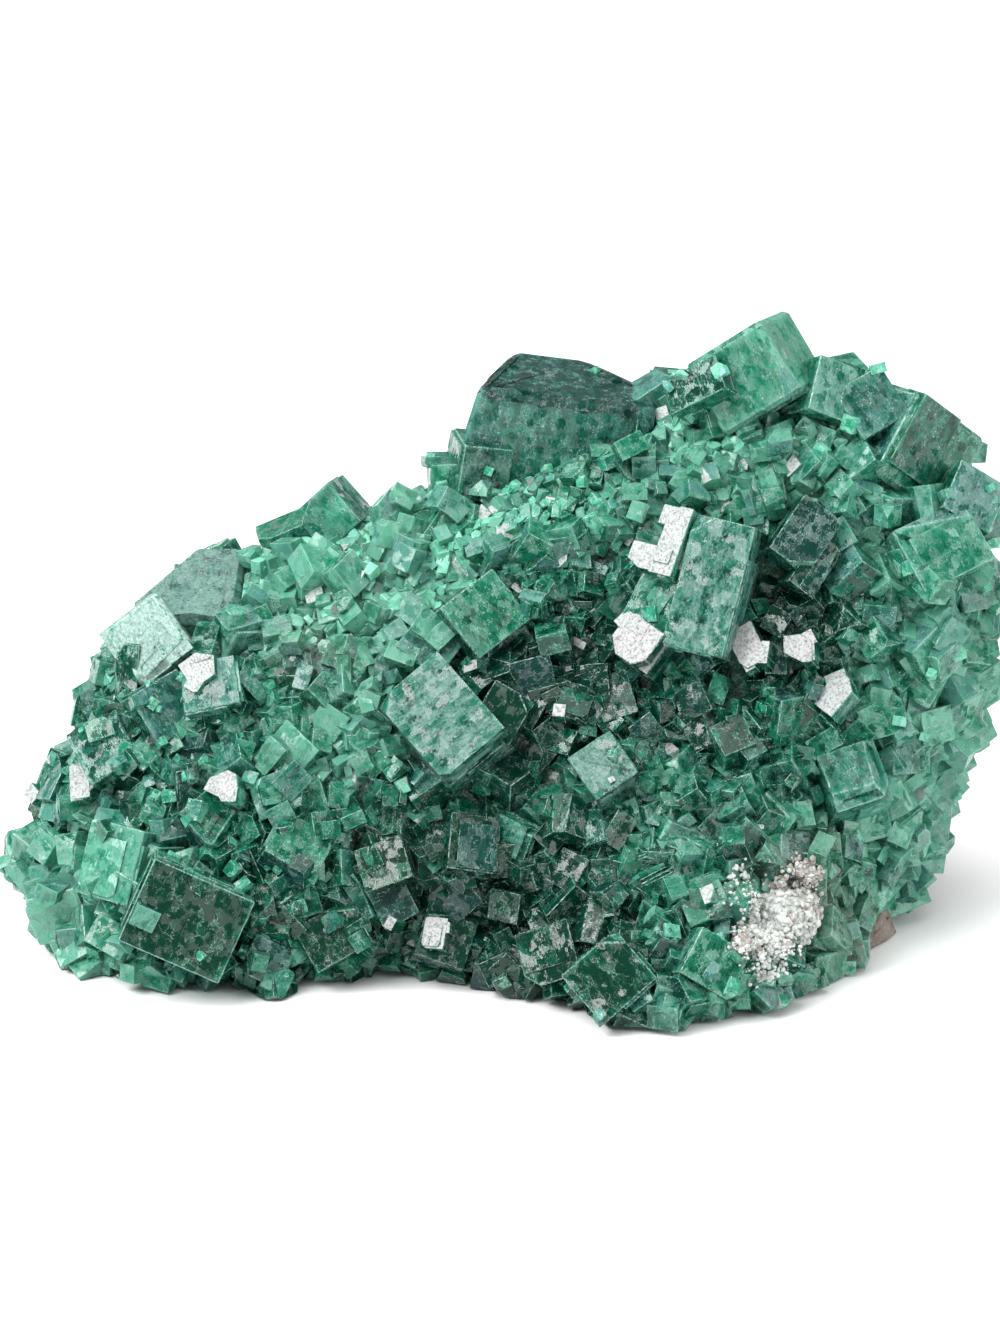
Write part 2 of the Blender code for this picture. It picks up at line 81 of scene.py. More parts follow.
def sides(edge: float, spread: tuple[float, float], rng: random.Random) -> Triple:
    """Three side lengths, each a random share of an edge."""
    return tuple(edge * rng.uniform(*spread) for _ in range(3))


def scattered(reach: float, rng: random.Random) -> Vector:
    """A random vector with each part at most reach."""
    return Vector([rng.uniform(-reach, reach) for _ in range(3)])


def halved(bm: bmesh.types.BMesh, point: Vector, normal: Vector, **options) -> list[bmesh.types.BMEdge]:
    """Cuts a mesh at a plane.

    Args:
        bm: The mesh.
        point: A point of the plane.
        normal: The plane's normal.
        options: Which side goes, and how near the plane a vertex counts as on it.

    Returns:
        The edges along the cut.
    """
    geometry = bm.verts[:] + bm.edges[:] + bm.faces[:]
    cut = bmesh.ops.bisect_plane(bm, geom=geometry, plane_co=point, plane_no=normal, **options)
    return [e for e in cut["geom_cut"] if isinstance(e, bmesh.types.BMEdge)]


def linked(name: str, data: bpy.types.ID) -> bpy.types.Object:
    """A new object, linked to the scene."""
    obj = bpy.data.objects.new(name, data)
    bpy.context.scene.collection.objects.link(obj)
    return obj


class Habit(Enum):
    """What a crystal's surface is like; a GLINT crystal is turned to mirror the key light, and that face is
    also painted off-white, a painted highlight.
    """

    CLEAR = "clear"
    DARK = "dark"
    PALE = "pale"
    FROSTED = "frosted"
    GLINT = "glint"


@dataclass(frozen=True)
class Eye:
    """The point that the specimen is looked at from, and the view plane through its middle."""

    elevation: float = math.radians(20.0)
    distance: float = 0.8
    height: float = 42.8 * MM
    lens: float = 135.0

    @property
    def centre(self) -> Vector:
        """The middle of the view plane."""
        return Vector((0.0, 0.0, self.height))

    @property
    def toward(self) -> Vector:
        """The direction from the specimen to the eye."""
        return Vector((0.0, -math.cos(self.elevation), math.sin(self.elevation)))

    @property
    def right(self) -> Vector:
        """The view plane's right."""
        return Vector((1.0, 0.0, 0.0))

    @property
    def up(self) -> Vector:
        """The view plane's up."""
        return self.toward.cross(self.right)

    @property
    def place(self) -> Vector:
        """Where the eye is."""
        return self.centre + self.toward * self.distance

    def ray(self, right_mm: float, up_mm: float) -> Vector:
        """The direction from the eye through a point of the view plane.

        Args:
            right_mm: Distance to the right of the middle.
            up_mm: Distance above the middle.

        Returns:
            A unit vector.
        """
        point = self.centre + (self.right * right_mm + self.up * up_mm) * MM
        return (point - self.place).normalized()

    def plane_spot(self, point: Vector) -> tuple[float, float]:
        """Where a point is seen in the view plane.

        Args:
            point: A place in the scene.

        Returns:
            The distances right and up from the middle, in mm.
        """
        away = point - self.place
        scale = self.distance / -away.dot(self.toward)
        return away.dot(self.right) * scale / MM, away.dot(self.up) * scale / MM

    def edge_on(self, right_mm: float, up_mm: float, along_right: float, along_up: float) -> Vector:
        """The normal of a plane through the eye, so that the eye sees the plane edge-on.

        Args:
            right_mm: A point of the plane, to the right of the middle.
            up_mm: The same point, above the middle.
            along_right: The right part of the direction that the plane faces.
            along_up: The up part of that direction.

        Returns:
            A unit vector.
        """
        across = self.right * along_right + self.up * along_up
        ray = self.ray(right_mm, up_mm)
        return (across - ray * across.dot(ray)).normalized()

    def turned(self, yaw: float, pitch: float, roll: float) -> Matrix:
        """The rotation of a crystal whose front face is turned away from the eye.

        Args:
            yaw: Degrees to the right.
            pitch: Degrees upwards.
            roll: Degrees anticlockwise.

        Returns:
            A 3x3 rotation.
        """
        facing = Matrix((self.right, self.up, self.toward)).transposed()
        side = Matrix.Rotation(math.radians(yaw), 3, "Y")
        tilt = Matrix.Rotation(math.radians(-pitch), 3, "X")
        return facing @ side @ tilt @ Matrix.Rotation(math.radians(roll), 3, "Z")


EYE = Eye()
GLINT_YAW = -20.0
GLINT_PITCH = 17.0
GLINT_TURN = EYE.turned(GLINT_YAW, GLINT_PITCH, 0.0)
GLINT_WAY = GLINT_TURN.col[2]


@dataclass(frozen=True)
class Contact:
    """The face where the fluorite meets the host rock."""

    point: Triple = (0.0, -5.0 * MM, 0.0)
    normal: Triple = (-0.04, 0.87, -0.48)

    def depth(self, point: Vector) -> float:
        """How far a point is behind the face, on the rock's side."""
        return (point - Vector(self.point)).dot(Vector(self.normal).normalized())

    def cut(self, bm: bmesh.types.BMesh, shift: float) -> None:
        """Cuts a closed mesh at the face, keeps the crust's side and closes it again.

        Args:
            bm: The mesh.
            shift: Metres that the cut is moved towards the rock.
        """
        normal = Vector(self.normal).normalized()
        edges = halved(bm, Vector(self.point) + normal * shift, normal, clear_outer=True)
        bmesh.ops.edgenet_fill(bm, edges=edges)
        bmesh.ops.triangulate(bm, faces=bm.faces)
        bmesh.ops.recalc_face_normals(bm, faces=bm.faces)


CONTACT = Contact()


@dataclass(frozen=True)
class Lump:
    """The whole lump, rock and crust together, lofted through cross-sections.

    The rows are x, front foot y, back heel y, underside z, crest y, crest z and front bulge, in mm.
    """

    sections: tuple[tuple[float, ...], ...] = (
        (-75, -7, 9, 3, 2, 12, 1),
        (-70, -17, 19, 0, 2, 24, 2),
        (-60, -28, 28, 0, 4, 43, 3),
        (-48, -31, 34, 0, 6, 54, 4),
        (-34, -30, 38, 0, 7, 59, 6),
        (-20, -26, 40, 0, 8, 64, 8),
        (-6, -26, 41, 0, 9, 68, 6),
        (8, -34, 42, 0, 10, 73, 0),
        (22, -45, 42, 0, 11, 79, -6),
        (36, -42, 41, 0, 11, 84, -5),
        (48, -31, 39, 0, 11, 87, -1),
        (60, -12, 36, 0, 11, 82, 4),
        (68, -3, 30, 6, 10, 75, 5),
        (75, 1, 20, 36, 9, 64, 2),
    )
    slices: int = 22
    front_steps: int = 4
    back_steps: int = 6
    crest_front: float = 9.0
    crest_back: float = 10.0
    crest_drop: float = 0.06
    foot_rise: float = 0.06
    heel_rise: float = 0.12
    back_bulge: float = 5.0
    base_inset: float = 3.0
    roughness: float = 1.6 * MM
    roughness_scale: float = 55.0
    fine_share: float = 0.5
    fine_ratio: float = 2.3

    def section_at(self, x: float) -> list[float]:
        """The row of values at x, half eased and half straight between the rows on either side.

        Args:
            x: The place along the lump, in mm.

        Returns:
            A row like those of the sections.
        """
        for low, high in zip(self.sections, self.sections[1:]):
            if x <= high[0]:
                share = (x - low[0]) / (high[0] - low[0])
                eased = share * share * (3 - 2 * share)
                share = eased * 0.5 + share * 0.5
                return [a + (b - a) * share for a, b in zip(low, high)]
        return list(self.sections[-1])

    @staticmethod
    def bulged(start: Vector, end: Vector, share: float, bulge: float) -> Vector:
        """A point between two (y, z) points, pushed out by a half-wave bulge.

        Args:
            start: The first point.
            end: The second point.
            share: How far the point is from the first to the second, from 0 to 1.
            bulge: The height of the half wave.

        Returns:
            The point.
        """
        along = (end - start).normalized()
        outward = Vector((-along.y, along.x))
        return start.lerp(end, share) + outward * bulge * math.sin(math.pi * share)

    def ring(self, section: Sequence[float]) -> list[Vector]:
        """The closed (y, z) outline of one cross-section, from the heel forward and back over.

        Args:
            section: A row of values.

        Returns:
            The points, in mm.
        """
        _, foot, heel, underside, crest_y, crest_z, bulge = section
        height = crest_z - underside
        front_foot = Vector((foot, underside + self.foot_rise * height))
        front_top = Vector((crest_y - self.crest_front, crest_z - self.crest_drop * height))
        back_top = Vector((crest_y + self.crest_back, crest_z - self.crest_drop * height))
        back_heel = Vector((heel, underside + self.heel_rise * height))
        reach = min(self.base_inset, 0.2 * (heel - foot))
        ring = [
            Vector((heel - reach, underside)),
            Vector(((foot + heel) / 2, underside)),
            Vector((foot + reach, underside)),
        ]
        steps = self.front_steps
        ring += [self.bulged(front_foot, front_top, i / steps, bulge) for i in range(steps + 1)]
        ring.append(Vector((crest_y, crest_z)))
        steps = self.back_steps
        ring += [self.bulged(back_top, back_heel, i / steps, self.back_bulge) for i in range(steps + 1)]
        return ring

    def roughened(self, point: Vector) -> Vector:
        """A point moved by seeded noise; the flat cut base stays flat.

        Args:
            point: The point.

        Returns:
            Its new place.
        """
        if point.z < BASE_TOUCH:
            return point
        spot = point * self.roughness_scale
        push = noise.noise_vector(spot) + self.fine_share * noise.noise_vector(spot * self.fine_ratio)
        return point + push * self.roughness

    def bmesh(self) -> bmesh.types.BMesh:
        """Lofts the lump through its cross-sections.

        Returns:
            A closed mesh of triangles.
        """
        bm = bmesh.new()
        first, last = self.sections[0][0], self.sections[-1][0]
        rings = []
        for i in range(self.slices):
            x = first + (last - first) * i / (self.slices - 1)
            points = [Vector((x, p.x, p.y)) * MM for p in self.ring(self.section_at(x))]
            rings.append([bm.verts.new(self.roughened(p)) for p in points])
        for ring, following in zip(rings, rings[1:]):
            for j, vert in enumerate(ring):
                k = (j + 1) % len(ring)
                bm.faces.new((vert, ring[k], following[k], following[j]))
        bm.faces.new(rings[0][::-1])
        bm.faces.new(rings[-1])
        bmesh.ops.recalc_face_normals(bm, faces=bm.faces)
        bmesh.ops.triangulate(bm, faces=bm.faces)
        return bm


@dataclass
class Crystal:
    """One crystal: a box with flat faces, in its own place and turn. Sizes are in mm."""

    centre: Vector
    turn: Matrix
    size: Triple
    habit: Habit = Habit.CLEAR
    cut: float = 0.0
    slices: tuple[tuple[float, float, float, float], ...] = ()
    parts: tuple[tuple[float, float, Triple], ...] = ()
    breaks: int = 0
    tone: Optional[float] = None
    shades: Triple = (0.0, 0.0, 0.0)
    frost: float = 0.0
    cool: float = 0.0
    clean: bool = False

    @property
    def bare(self) -> bool:
        """Whether its faces stay free of smaller crystals."""
        return self.clean or self.habit is Habit.GLINT

    def holds(self, point: Vector, margin: float) -> bool:
        """Whether a point lies inside the box and at least margin metres from its faces."""
        own = self.turn.transposed() @ (point - self.centre)
        return all(abs(c) < s * MM / 2 - margin for c, s in zip(own, self.size))


CRYSTAL_LOOKS = ("habit", "cut", "slices", "parts", "shades", "frost", "cool", "clean")


def solid_tree(name: str) -> BVHTree:
    """A search tree of one of the part's solids."""
    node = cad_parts[name]
    return BVHTree.FromPolygons([v.co for v in node.data.vertices], [p.vertices for p in node.data.polygons])


def joined_tree(pieces: Sequence[bpy.types.Object]) -> BVHTree:
    """A search tree of the faces of several pieces.

    Args:
        pieces: The pieces.

    Returns:
        The tree.
    """
    points, faces = [], []
    for piece in pieces:
        start = len(points)
        points += [v.co for v in piece.data.vertices]
        faces += [[start + k for k in p.vertices] for p in piece.data.polygons]
    return BVHTree.FromPolygons(points, faces)


@dataclass(frozen=True)
class Patch:
    """A soft round patch of the crust, at (right, up) mm in the view plane."""

    right: float
    up: float
    radius: float
    amount: float

    def share(self, right: float, up: float) -> float:
        """How much of the patch a spot takes, from 0 to amount."""
        gap = ((right - self.right) ** 2 + (up - self.up) ** 2) / self.radius**2
        return self.amount * math.exp(-gap)


@dataclass(frozen=True)
class Scatter(Patch):
    """A patch that stray grains are thrown over, or heaped on up to a height in mm."""

    stain: float = 0.0
    height: float = 0.0


FaceRow = tuple[int, dict[str, float]]


def patch_sum(patches: Iterable[Patch], right: float, up: float) -> float:
    """The sum of all patches at a spot of the view plane."""
    return sum(patch.share(right, up) for patch in patches)


@dataclass
class Pot:
    """Gathers many small closed shapes into one joined mesh, with values on its faces."""

    points: list[Vector] = field(default_factory=list)
    own: list[Vector] = field(default_factory=list)
    faces: list[list[int]] = field(default_factory=list)
    verge: list[float] = field(default_factory=list)
    slots: list[int] = field(default_factory=list)
    values: dict[str, list[float]] = field(default_factory=dict)

    def add(
        self,
        bm: bmesh.types.BMesh,
        place: Matrix,
        offset: Vector,
        rows: Sequence[FaceRow],
    ) -> None:
        """Adds one shape and frees it.

        Args:
            bm: The shape in its own axes, in metres.
            place: Where it goes.
            offset: Added to its own coordinates, so that no two shapes share a pattern.
            rows: For each face, its material's number and its values.
        """
        start = len(self.points)
        bm.verts.index_update()
        inner = bm.verts.layers.int.get("inner")
        for vert in bm.verts:
            self.points.append(place @ vert.co)
            self.own.append(vert.co / MM + offset)
            self.verge.append(0.0 if inner and vert[inner] else 1.0)
        for face, (slot, values) in zip(bm.faces, rows):
            self.faces.append([start + v.index for v in face.verts])
            self.slots.append(slot)
            for name, value in values.items():
                self.values.setdefault(name, []).append(value)
        bm.free()

    def piece(self, name: str, materials: Sequence[bpy.types.Material]) -> bpy.types.Object:
        """The joined mesh as an object.

        Args:
            name: The piece's name.
            materials: Its materials, in the order of the faces' numbers.

        Returns:
            The new object, linked to the scene.
        """
        mesh = bpy.data.meshes.new(name)
        mesh.from_pydata(self.points, [], self.faces)
        mesh.polygons.foreach_set("material_index", self.slots)
        for key, numbers in self.values.items():
            mesh.attributes.new(key, "FLOAT", "FACE").data.foreach_set("value", numbers)
        flat = [c for vector in self.own for c in vector]
        mesh.attributes.new("own", "FLOAT_VECTOR", "POINT").data.foreach_set("vector", flat)
        mesh.attributes.new("verge", "FLOAT", "POINT").data.foreach_set("value", self.verge)
        for material in materials:
            mesh.materials.append(material)
        mesh.update()
        return linked(name, mesh)


@dataclass(frozen=True)
class CrystalCutter:
    """Gives a crystal its chipped corners, its fine bevelled edges and its flat cut base."""

    rim_share: float = 0.021
    rim_least: float = 0.055
    rim_most: float = 0.19
    plain_below: float = 1.7
    verge_above: float = 3.2
    verge_share: float = 0.16
    verge_most: float = 1.5
    verge_room: float = 2.4
    chip_depth: tuple[float, float] = (0.06, 0.40)
    chip_most: float = 1.6
    chip_lean: tuple[float, float] = (0.35, 1.0)
    edge_chips: float = 0.4
    edge_lean: tuple[float, float] = (0.0, 0.15)
    on_plane: float = 1e-7

    def shape(self, crystal: Crystal, rng: random.Random) -> bmesh.types.BMesh:
        """One crystal's closed mesh, in its own axes.

        Args:
            crystal: The crystal.
            rng: The source of its chips.

        Returns:
            A mesh whose face layer "rim" is 1 on the bevelled edges.
        """
        bm = bmesh.new()
        scale = Matrix.Diagonal((*(s * MM for s in crystal.size), 1.0))
        bmesh.ops.create_cube(bm, size=1.0, matrix=scale)
        own = crystal.turn.transposed()
        for slice_values in crystal.slices:
            self.slice(bm, own @ (EYE.place - crystal.centre), own @ EYE.edge_on(*slice_values))
        if crystal.cut:
            self.bevelled(bm, crystal.cut)
        for _ in range(crystal.breaks):
            self.chip(bm, crystal, rng)
        rim = bm.faces.layers.int.new("rim")
        if max(crystal.size) > self.plain_below:
            width = min(self.rim_most, max(self.rim_least, self.rim_share * min(crystal.size)))
            for face in self.bevelled(bm, width):
                face[rim] = 1
        if min(crystal.size) > self.verge_above:
            self.mark_verge(bm, min(self.verge_most, self.verge_share * min(crystal.size)))
        self.cut_base(bm, crystal)
        return bm

    @staticmethod
    def bevelled(bm: bmesh.types.BMesh, width: float) -> list[bmesh.types.BMFace]:
        """Bevels every edge of a crystal.

        Args:
            bm: The crystal.
            width: The bevel's width in mm.

        Returns:
            The new faces.
        """
        edges = bm.edges[:]
        offset = width * MM
        made = bmesh.ops.bevel(bm, geom=edges, offset=offset, segments=1, affect="EDGES", clamp_overlap=True)
        return made["faces"]

    def mark_verge(self, bm: bmesh.types.BMesh, width: float) -> None:
        """Insets the flat faces, and marks the vertices inside the inset ring.

        Args:
            bm: The crystal.
            width: The ring's width in mm.
        """
        rim = bm.faces.layers.int["rim"]
        inner = bm.verts.layers.int.new("inner")
        flat = [f for f in bm.faces if not f[rim] and f.calc_area() > (self.verge_room * width * MM) ** 2]
        bmesh.ops.inset_individual(bm, faces=flat, thickness=width * MM, use_even_offset=True)
        for face in flat:
            for vert in face.verts:
                vert[inner] = 1

    def chip(self, bm: bmesh.types.BMesh, crystal: Crystal, rng: random.Random) -> None:
        """Breaks off one corner or edge with a flat cleavage face.

        Args:
            bm: The crystal's mesh.
            crystal: The crystal.
            rng: The source of the corner, the lean and the depth.
        """
        signs = [rng.choice((-1.0, 1.0)) for _ in range(3)]
        weights = [rng.uniform(*self.chip_lean) for _ in range(3)]
        if crystal.habit is Habit.GLINT:
            weights[2] = 0.0
        elif rng.random() < self.edge_chips:
            weights[rng.randrange(3)] = rng.uniform(*self.edge_lean)
        normal = Vector([s * w for s, w in zip(signs, weights)]).normalized()
        corner = Vector([s * d * MM / 2 for s, d in zip(signs, crystal.size)])
        depth = min(self.chip_most, rng.uniform(*self.chip_depth) * min(crystal.size)) * MM
        self.slice(bm, corner - normal * depth, normal)

    def slice(self, bm: bmesh.types.BMesh, point: Vector, normal: Vector) -> None:
        """Takes away what lies beyond a plane, and closes the hole.

        Args:
            bm: The crystal's mesh.
            point: A point of the plane.
            normal: The direction that the plane faces.
        """
        edges = [e for e in halved(bm, point, normal, clear_outer=True, dist=self.on_plane) if e.is_boundary]
        if edges:
            bmesh.ops.contextual_create(bm, geom=edges)
            bmesh.ops.recalc_face_normals(bm, faces=bm.faces)

    def cut_base(self, bm: bmesh.types.BMesh, crystal: Crystal) -> None:
        """Cuts the crystal off at z = 0, where it reaches below the base.

        Args:
            bm: The crystal's mesh.
            crystal: The crystal.
        """
        reach = Vector(crystal.size).length * MM / 2
        if crystal.centre.z > reach:
            return
        down = crystal.turn.transposed() @ Vector((0.0, 0.0, -1.0))
        self.slice(bm, down * crystal.centre.z, down)


@dataclass(frozen=True)
class CrustLooks:
    """Where the crust is lighter or darker (partly painted light and shade, partly the green's own tone),
    stained or frosted, how its crystals' faces differ, and which faces get painted glints.
    """

    # Patches that lighten the green: partly painted light, such as on the lit ridge and the right edge,
    # partly paler crystal.
    lit_and_pale_patches: tuple[Patch, ...] = (
        Patch(-16, 17, 17, 0.42),
        Patch(-35, 19, 12, 0.34),
        Patch(4, 26, 12, 0.06),
        Patch(-27, -12, 10, 0.26),
        Patch(62, 20, 16, 0.20),
        Patch(38, 40, 16, 0.42),
        Patch(24, -24, 9, 0.16),
        Patch(32, -36, 10, 0.22),
        Patch(74, 0, 16, 0.46),
        Patch(70, -24, 15, 0.86),
        Patch(-72, -42, 14, 0.62),
        Patch(-30, 26, 18, 0.26),
        Patch(-50, -30, 14, 0.16),
        Patch(48, -42, 12, 0.18),
        Patch(32, 6, 9, 0.14),
    )
    # Patches that darken the green: partly painted shade, such as in recesses and towards the bottom, partly
    # darker crystal.
    shaded_and_dark_patches: tuple[Patch, ...] = (
        Patch(9, -3, 15, 0.70),
        Patch(8, -43, 17, 0.60),
        Patch(-8, -28, 12, 0.20),
        Patch(30, -30, 14, 0.14),
        Patch(50, 7, 10, 0.42),
        Patch(38, -4, 12, 0.34),
        Patch(46, 16, 9, 0.26),
        Patch(-38, -36, 22, 0.26),
        Patch(-10, -38, 16, 0.20),
        Patch(50, -20, 18, 0.22),
        Patch(-52, -26, 14, 0.16),
        Patch(-36, -2, 7, 0.18),
    )
    stain_patches: tuple[Patch, ...] = (
        Patch(47, -33, 6, 0.9),
        Patch(53, -42, 7, 0.7),
        Patch(-24, -2, 8, 0.28),
        Patch(-16, 11, 6, 0.25),
        Patch(-31, 4, 5, 0.40),
        Patch(-16, -34, 8, 0.14),
    )
    frost_patches: tuple[Patch, ...] = (
        Patch(-50, 8, 10, 0.5),
        Patch(27, 14, 9, 0.22),
        Patch(-14, -8, 9, 0.14),
        Patch(66, 30, 8, 0.08),
        Patch(70, -24, 10, 0.40),
        Patch(-72, -40, 8, 0.30),
        Patch(-6, 34, 6, 0.3),
        Patch(22, -30, 12, 0.10),
        Patch(-66, -10, 9, 0.20),
    )
    base_tone: float = 0.37
    tone_swing: float = 0.16
    tone_scale: float = 60.0
    small_below: float = 3.2
    small_jitter: float = 0.11
    large_jitter: float = 0.22
    clean_share: float = 0.4
    other_share: float = 0.9
    dark_shift: float = -0.10
    pale_shift: float = 0.15
    frost_swing: tuple[float, float] = (0.3, 1.4)
    stain_swing: tuple[float, float] = (0.4, 1.2)
    cool_most: float = 0.9
    frosted_least: float = 0.6
    # Frost above 1 paints a face off-white: the painted glint on faces that mirror the key light.
    painted_glint_level: float = 1.3
    glint_side_frost: float = 0.2
    glint_square: float = 0.9
    # Rare tiny faces painted white at random, standing in for tiny glints: painted highlights.
    painted_sparkle_level: float = 1.2
    fleck_luck: float = 0.987
    fleck_below: float = 3.0
    # Small crystals' faces turned this squarely to the key light also get the painted glint.
    mirror_square: float = 0.96
    mirror_luck: float = 0.60
    mirror_below: float = 3.4
    etched_luck: float = 0.83
    etched_large: float = 0.22
    etched_small: float = 0.40
    etched_above: float = 5.0
    frosted_slot_above: float = 0.7
    frosted_slot_below: float = 2.6

    def tone_at(self, point: Vector) -> float:
        """How light the green is at a point, with the patches' painted light and shade in it.

        Args:
            point: A place in the scene.

        Returns:
            A value from 0, darkest, to 1, mint.
        """
        right, up = EYE.plane_spot(point)
        patches = patch_sum(self.lit_and_pale_patches, right, up) - patch_sum(self.shaded_and_dark_patches, right, up)
        return self.base_tone + patches + self.tone_swing * noise.noise(point * self.tone_scale)

    def rows(self, bm: bmesh.types.BMesh, crystal: Crystal, rng: random.Random) -> list[FaceRow]:
        """The material and the values of each of a crystal's faces.

        Args:
            bm: The crystal's mesh, with its "rim" layer.
            crystal: The crystal.
            rng: The source of how its faces differ.

        Returns:
            One row for each face.
        """
        rim = bm.faces.layers.int["rim"]
        right, up = EYE.plane_spot(crystal.centre)
        whole = max(crystal.size)
        jitter = self.small_jitter if whole < self.small_below else self.large_jitter
        own_tone = rng.uniform(-jitter, jitter) if crystal.tone is None else crystal.tone
        tone = self.tone_at(crystal.centre) + own_tone
        frost = crystal.frost or patch_sum(self.frost_patches, right, up) * rng.uniform(*self.frost_swing)
        stain = min(1.0, patch_sum(self.stain_patches, right, up) * rng.uniform(*self.stain_swing))
        tone += {Habit.DARK: self.dark_shift, Habit.PALE: self.pale_shift}.get(crystal.habit, 0.0)
        if crystal.habit is Habit.FROSTED:
            frost = max(frost, self.frosted_least)
        share = self.clean_share if crystal.clean else self.other_share
        rows = []
        by_way: dict[tuple[int, int, int], Triple] = {}
        for face in bm.faces:
            way = tuple(round(c * 4) for c in face.normal)
            if way not in by_way:
                axis = max(range(3), key=lambda k: abs(face.normal[k]))
                shift = crystal.shades[axis] + rng.uniform(-jitter, jitter) * share
                by_way[way] = (shift, rng.random(), max(crystal.cool, rng.random() ** 3 * self.cool_most))
            shift, luck, cool = by_way[way]
            square = (crystal.turn @ face.normal).dot(GLINT_WAY)
            # A face's frost, or the painted glint level where it mirrors the key light.
            face_frost_and_glint = self.face_frost(crystal, square, tone, frost, luck)
            slot = int(face_frost_and_glint > self.frosted_slot_above or whole < self.frosted_slot_below)
            values = dict(tone=tone + shift, frost=face_frost_and_glint, rim=float(face[rim]), stain=stain, cool=cool)
            rows.append((slot, values))
        return rows

    def face_frost(self, crystal: Crystal, square: float, tone: float, frost: float, luck: float) -> float:
        """How frosted one face is, or the painted off-white of a painted glint where the face mirrors the key
        light.

        Args:
            crystal: The crystal.
            square: How squarely the face mirrors the key light, at most 1.
            tone: How light the crystal is.
            frost: How frosted the crystal is.
            luck: The face's own random share, from 0 to 1.

        Returns:
            The face's frost; above 1 it is painted off-white, a painted glint.
        """
        whole = max(crystal.size)
        # Faces that mirror the key light, on glinting crystals and on small ones, get the painted glint.
        if crystal.habit is Habit.GLINT:
            return self.painted_glint_level if square > self.glint_square else self.glint_side_frost
        if square > self.mirror_square and luck > self.mirror_luck and whole < self.mirror_below:
            return self.painted_glint_level
        # Rare tiny faces painted white: painted sparkle.
        if whole < self.fleck_below and luck > self.fleck_luck:
            return self.painted_sparkle_level
        if luck > self.etched_luck and not crystal.clean:
            etched = self.etched_large if whole > self.etched_above else self.etched_small
            return frost + etched * min(1.0, max(0.2, 2.5 * tone))
        return frost


@dataclass(frozen=True)
class Throw:
    """How one kind of crystal is thrown over the crust."""

    seed: int
    tries: int
    faces_above: float
    sway: float
    sway_scale: float
    seat: tuple[float, float]
    spread: tuple[float, float]

    def faces(self, bm: bmesh.types.BMesh) -> list[bmesh.types.BMFace]:
        """The faces of the lump that it covers: all but those that look steeply down."""
        return [f for f in bm.faces if f.normal.z > self.faces_above]

    def outward(self, face: bmesh.types.BMFace, point: Vector) -> Vector:
        """The direction that a crystal grows in, swayed by seeded noise."""
        return (face.normal + self.sway * noise.noise_vector(point * self.sway_scale)).normalized()


class Neighbours:
    """Crystals' places and edges kept in cells, so that those near a point are found fast."""

    def __init__(self, cell: float) -> None:
        """Starts empty, with cells of one size in metres."""
        self.cell = cell
        self.cells: dict[tuple[int, ...], list[tuple[Vector, float]]] = {}

    def key(self, point: Vector) -> tuple[int, ...]:
        """The cell that holds a point."""
        return tuple(int(math.floor(value / self.cell)) for value in point)

    def near(self, point: Vector) -> list[tuple[Vector, float]]:
        """The crystals in a point's cell and the cells around it."""
        steps = product((-1, 0, 1), repeat=3)
        keys = [tuple(k + s for k, s in zip(self.key(point), step)) for step in steps]
        return [item for key in keys for item in self.cells.get(key, ())]

    def add(self, point: Vector, edge: float) -> None:
        """Keeps one crystal."""
        self.cells.setdefault(self.key(point), []).append((point, edge))


